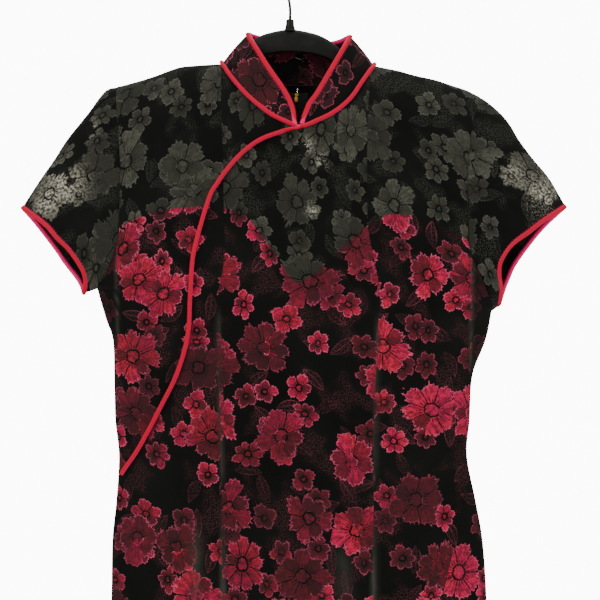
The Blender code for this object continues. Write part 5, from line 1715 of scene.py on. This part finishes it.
class DRESS_OT_cut_sizes(bpy.types.Operator):
    """Work out the area of each cloth grid; nothing more is done with them"""

    bl_idname = "dress.cut_sizes"
    bl_label = "Cut sizes"

    def execute(self, context):
        shell = {
            "front": ["opening_piping_satin", "front_hem_stitches"],
            "back_left": ["back_left_hem_stitches"],
            "back_right": ["back_right_hem_stitches", "zip_coil"],
            "sleeve_left": ["cuff_binding_left_satin", "sleeve_left_stitches"],
            "sleeve_right": ["cuff_binding_right_satin", "sleeve_right_stitches"],
            "collar_left": ["collar_binding_left_satin", "neck_piping_left_satin", "collar_left_stitches"],
            "collar_right": ["collar_binding_right_satin", "collar_right_stitches"],
        }
        for name, extra in shell.items():
            grid = cloth.grids[name]
            if name.startswith("sleeve"):
                grid = np.concatenate([grid, grid[:, :1]], axis=1)
            declare(grid)
        for name, grid in cloth.slips.items():
            declare(grid)
        run = cloth.grids["back_left"][:, -1]
        run = run[run[:, 2] > ZIP_BOTTOM]
        return {"FINISHED"}


class DRESS_OT_stage(bpy.types.Operator):
    """Make the floor, the soft lights and the camera"""

    bl_idname = "dress.stage"
    bl_label = "Floor, light and camera"

    def execute(self, context):
        sizes, colours = context.scene.dress_sizes, context.scene.dress_colours
        turn, reach = np.meshgrid(np.linspace(0, 2 * np.pi, 65)[:-1], np.linspace(0.05, 2.2, 12))
        level = np.full_like(turn, HEM - FLOOR_DROP)
        points = np.stack([np.cos(turn) * reach, np.sin(turn) * reach, level], axis=-1)
        index = np.arange(points[..., 0].size).reshape(points.shape[:2])
        faces = index_faces(index, True)
        mesh = bpy.data.meshes.new("floor")
        mesh.from_pydata(points.reshape(-1, 3).tolist(), [], [*faces[:, ::-1].tolist(), index[0].tolist()])
        look = Look("floor_paint")
        cloud = look.noise(look.objects(), 3.0, 3.0, 0.5)
        tone = (*colours.floor, 1.0)
        paler = (*[part * 1.06 for part in colours.floor], 1.0)
        look.finish(Base_Color=look.mix(cloud, tone, paler), Roughness=0.6 + 0.15 * cloud)
        mesh.materials.append(look.material)
        floor = bpy.data.objects.new("floor", mesh)
        context.scene.collection.objects.link(floor)

        world = bpy.data.worlds.new("soft_studio")
        world.use_nodes = True
        tree = world.node_tree
        sky = tree.nodes["Background"]
        sky.inputs["Color"].default_value = (1.0, 1.0, 1.0, 1.0)
        sky.inputs["Strength"].default_value = 0.62
        paper = tree.nodes.new("ShaderNodeBackground")
        paper.inputs["Strength"].default_value = 14.0
        seen = tree.nodes.new("ShaderNodeLightPath")
        either = tree.nodes.new("ShaderNodeMixShader")
        tree.links.new(seen.outputs["Is Camera Ray"], either.inputs[0])
        tree.links.new(sky.outputs[0], either.inputs[1])
        tree.links.new(paper.outputs[0], either.inputs[2])
        tree.links.new(either.outputs[0], tree.nodes["World Output"].inputs[0])
        context.scene.world = world
        for name, (place, size, power) in SOFTBOXES.items():
            light = bpy.data.lights.new(name, "AREA")
            light.shape = "SQUARE"
            light.size = size
            light.energy = power
            lamp = bpy.data.objects.new(name, light)
            lamp.location = place
            lamp.rotation_euler = (Vector(LIT_POINT) - Vector(place)).to_track_quat("-Z", "Y").to_euler()
            context.scene.collection.objects.link(lamp)
        view = bpy.data.cameras.new("view")
        view.sensor_width = 36.0
        view.lens = view.sensor_width * sizes.view_distance / sizes.view_width
        camera = bpy.data.objects.new("view", view)
        camera.location = (NECK_MIDDLE, -sizes.view_distance, VIEW_HEIGHT)
        camera.rotation_euler = (math.pi / 2, 0, 0)
        context.scene.collection.objects.link(camera)
        context.scene.camera = camera
        return {"FINISHED"}


OPERATORS = (
    DRESS_OT_panels, DRESS_OT_sleeves, DRESS_OT_collar, DRESS_OT_slip, DRESS_OT_trim, DRESS_OT_hanger,
    DRESS_OT_zip, DRESS_OT_sewing, DRESS_OT_cut_sizes, DRESS_OT_stage,
)


class DRESS_PT_panel(bpy.types.Panel):
    """Lists the steps that make the dress"""

    bl_label = "Dress"
    bl_space_type = "VIEW_3D"
    bl_region_type = "UI"
    bl_category = "Dress"

    def draw(self, context):
        column = self.layout.column()
        for group in (context.scene.dress_sizes, context.scene.dress_colours):
            for name in group.bl_rna.properties.keys():
                if name not in ("rna_type", "name"):
                    column.prop(group, name)
        for operator in OPERATORS:
            column.operator(operator.bl_idname)


CLASSES = (DressSizes, DressColours, *OPERATORS, DRESS_PT_panel)


def register():
    for kind in CLASSES:
        bpy.utils.register_class(kind)
    bpy.types.Scene.dress_sizes = PointerProperty(type=DressSizes)
    bpy.types.Scene.dress_colours = PointerProperty(type=DressColours)


def unregister():
    del bpy.types.Scene.dress_colours
    del bpy.types.Scene.dress_sizes
    for kind in reversed(CLASSES):
        bpy.utils.unregister_class(kind)


def main():
    """Make every piece in order."""
    register()
    for operator in OPERATORS:
        group, step = operator.bl_idname.split(".")
        getattr(getattr(bpy.ops, group), step)()


if __name__ == "__main__":
    main()
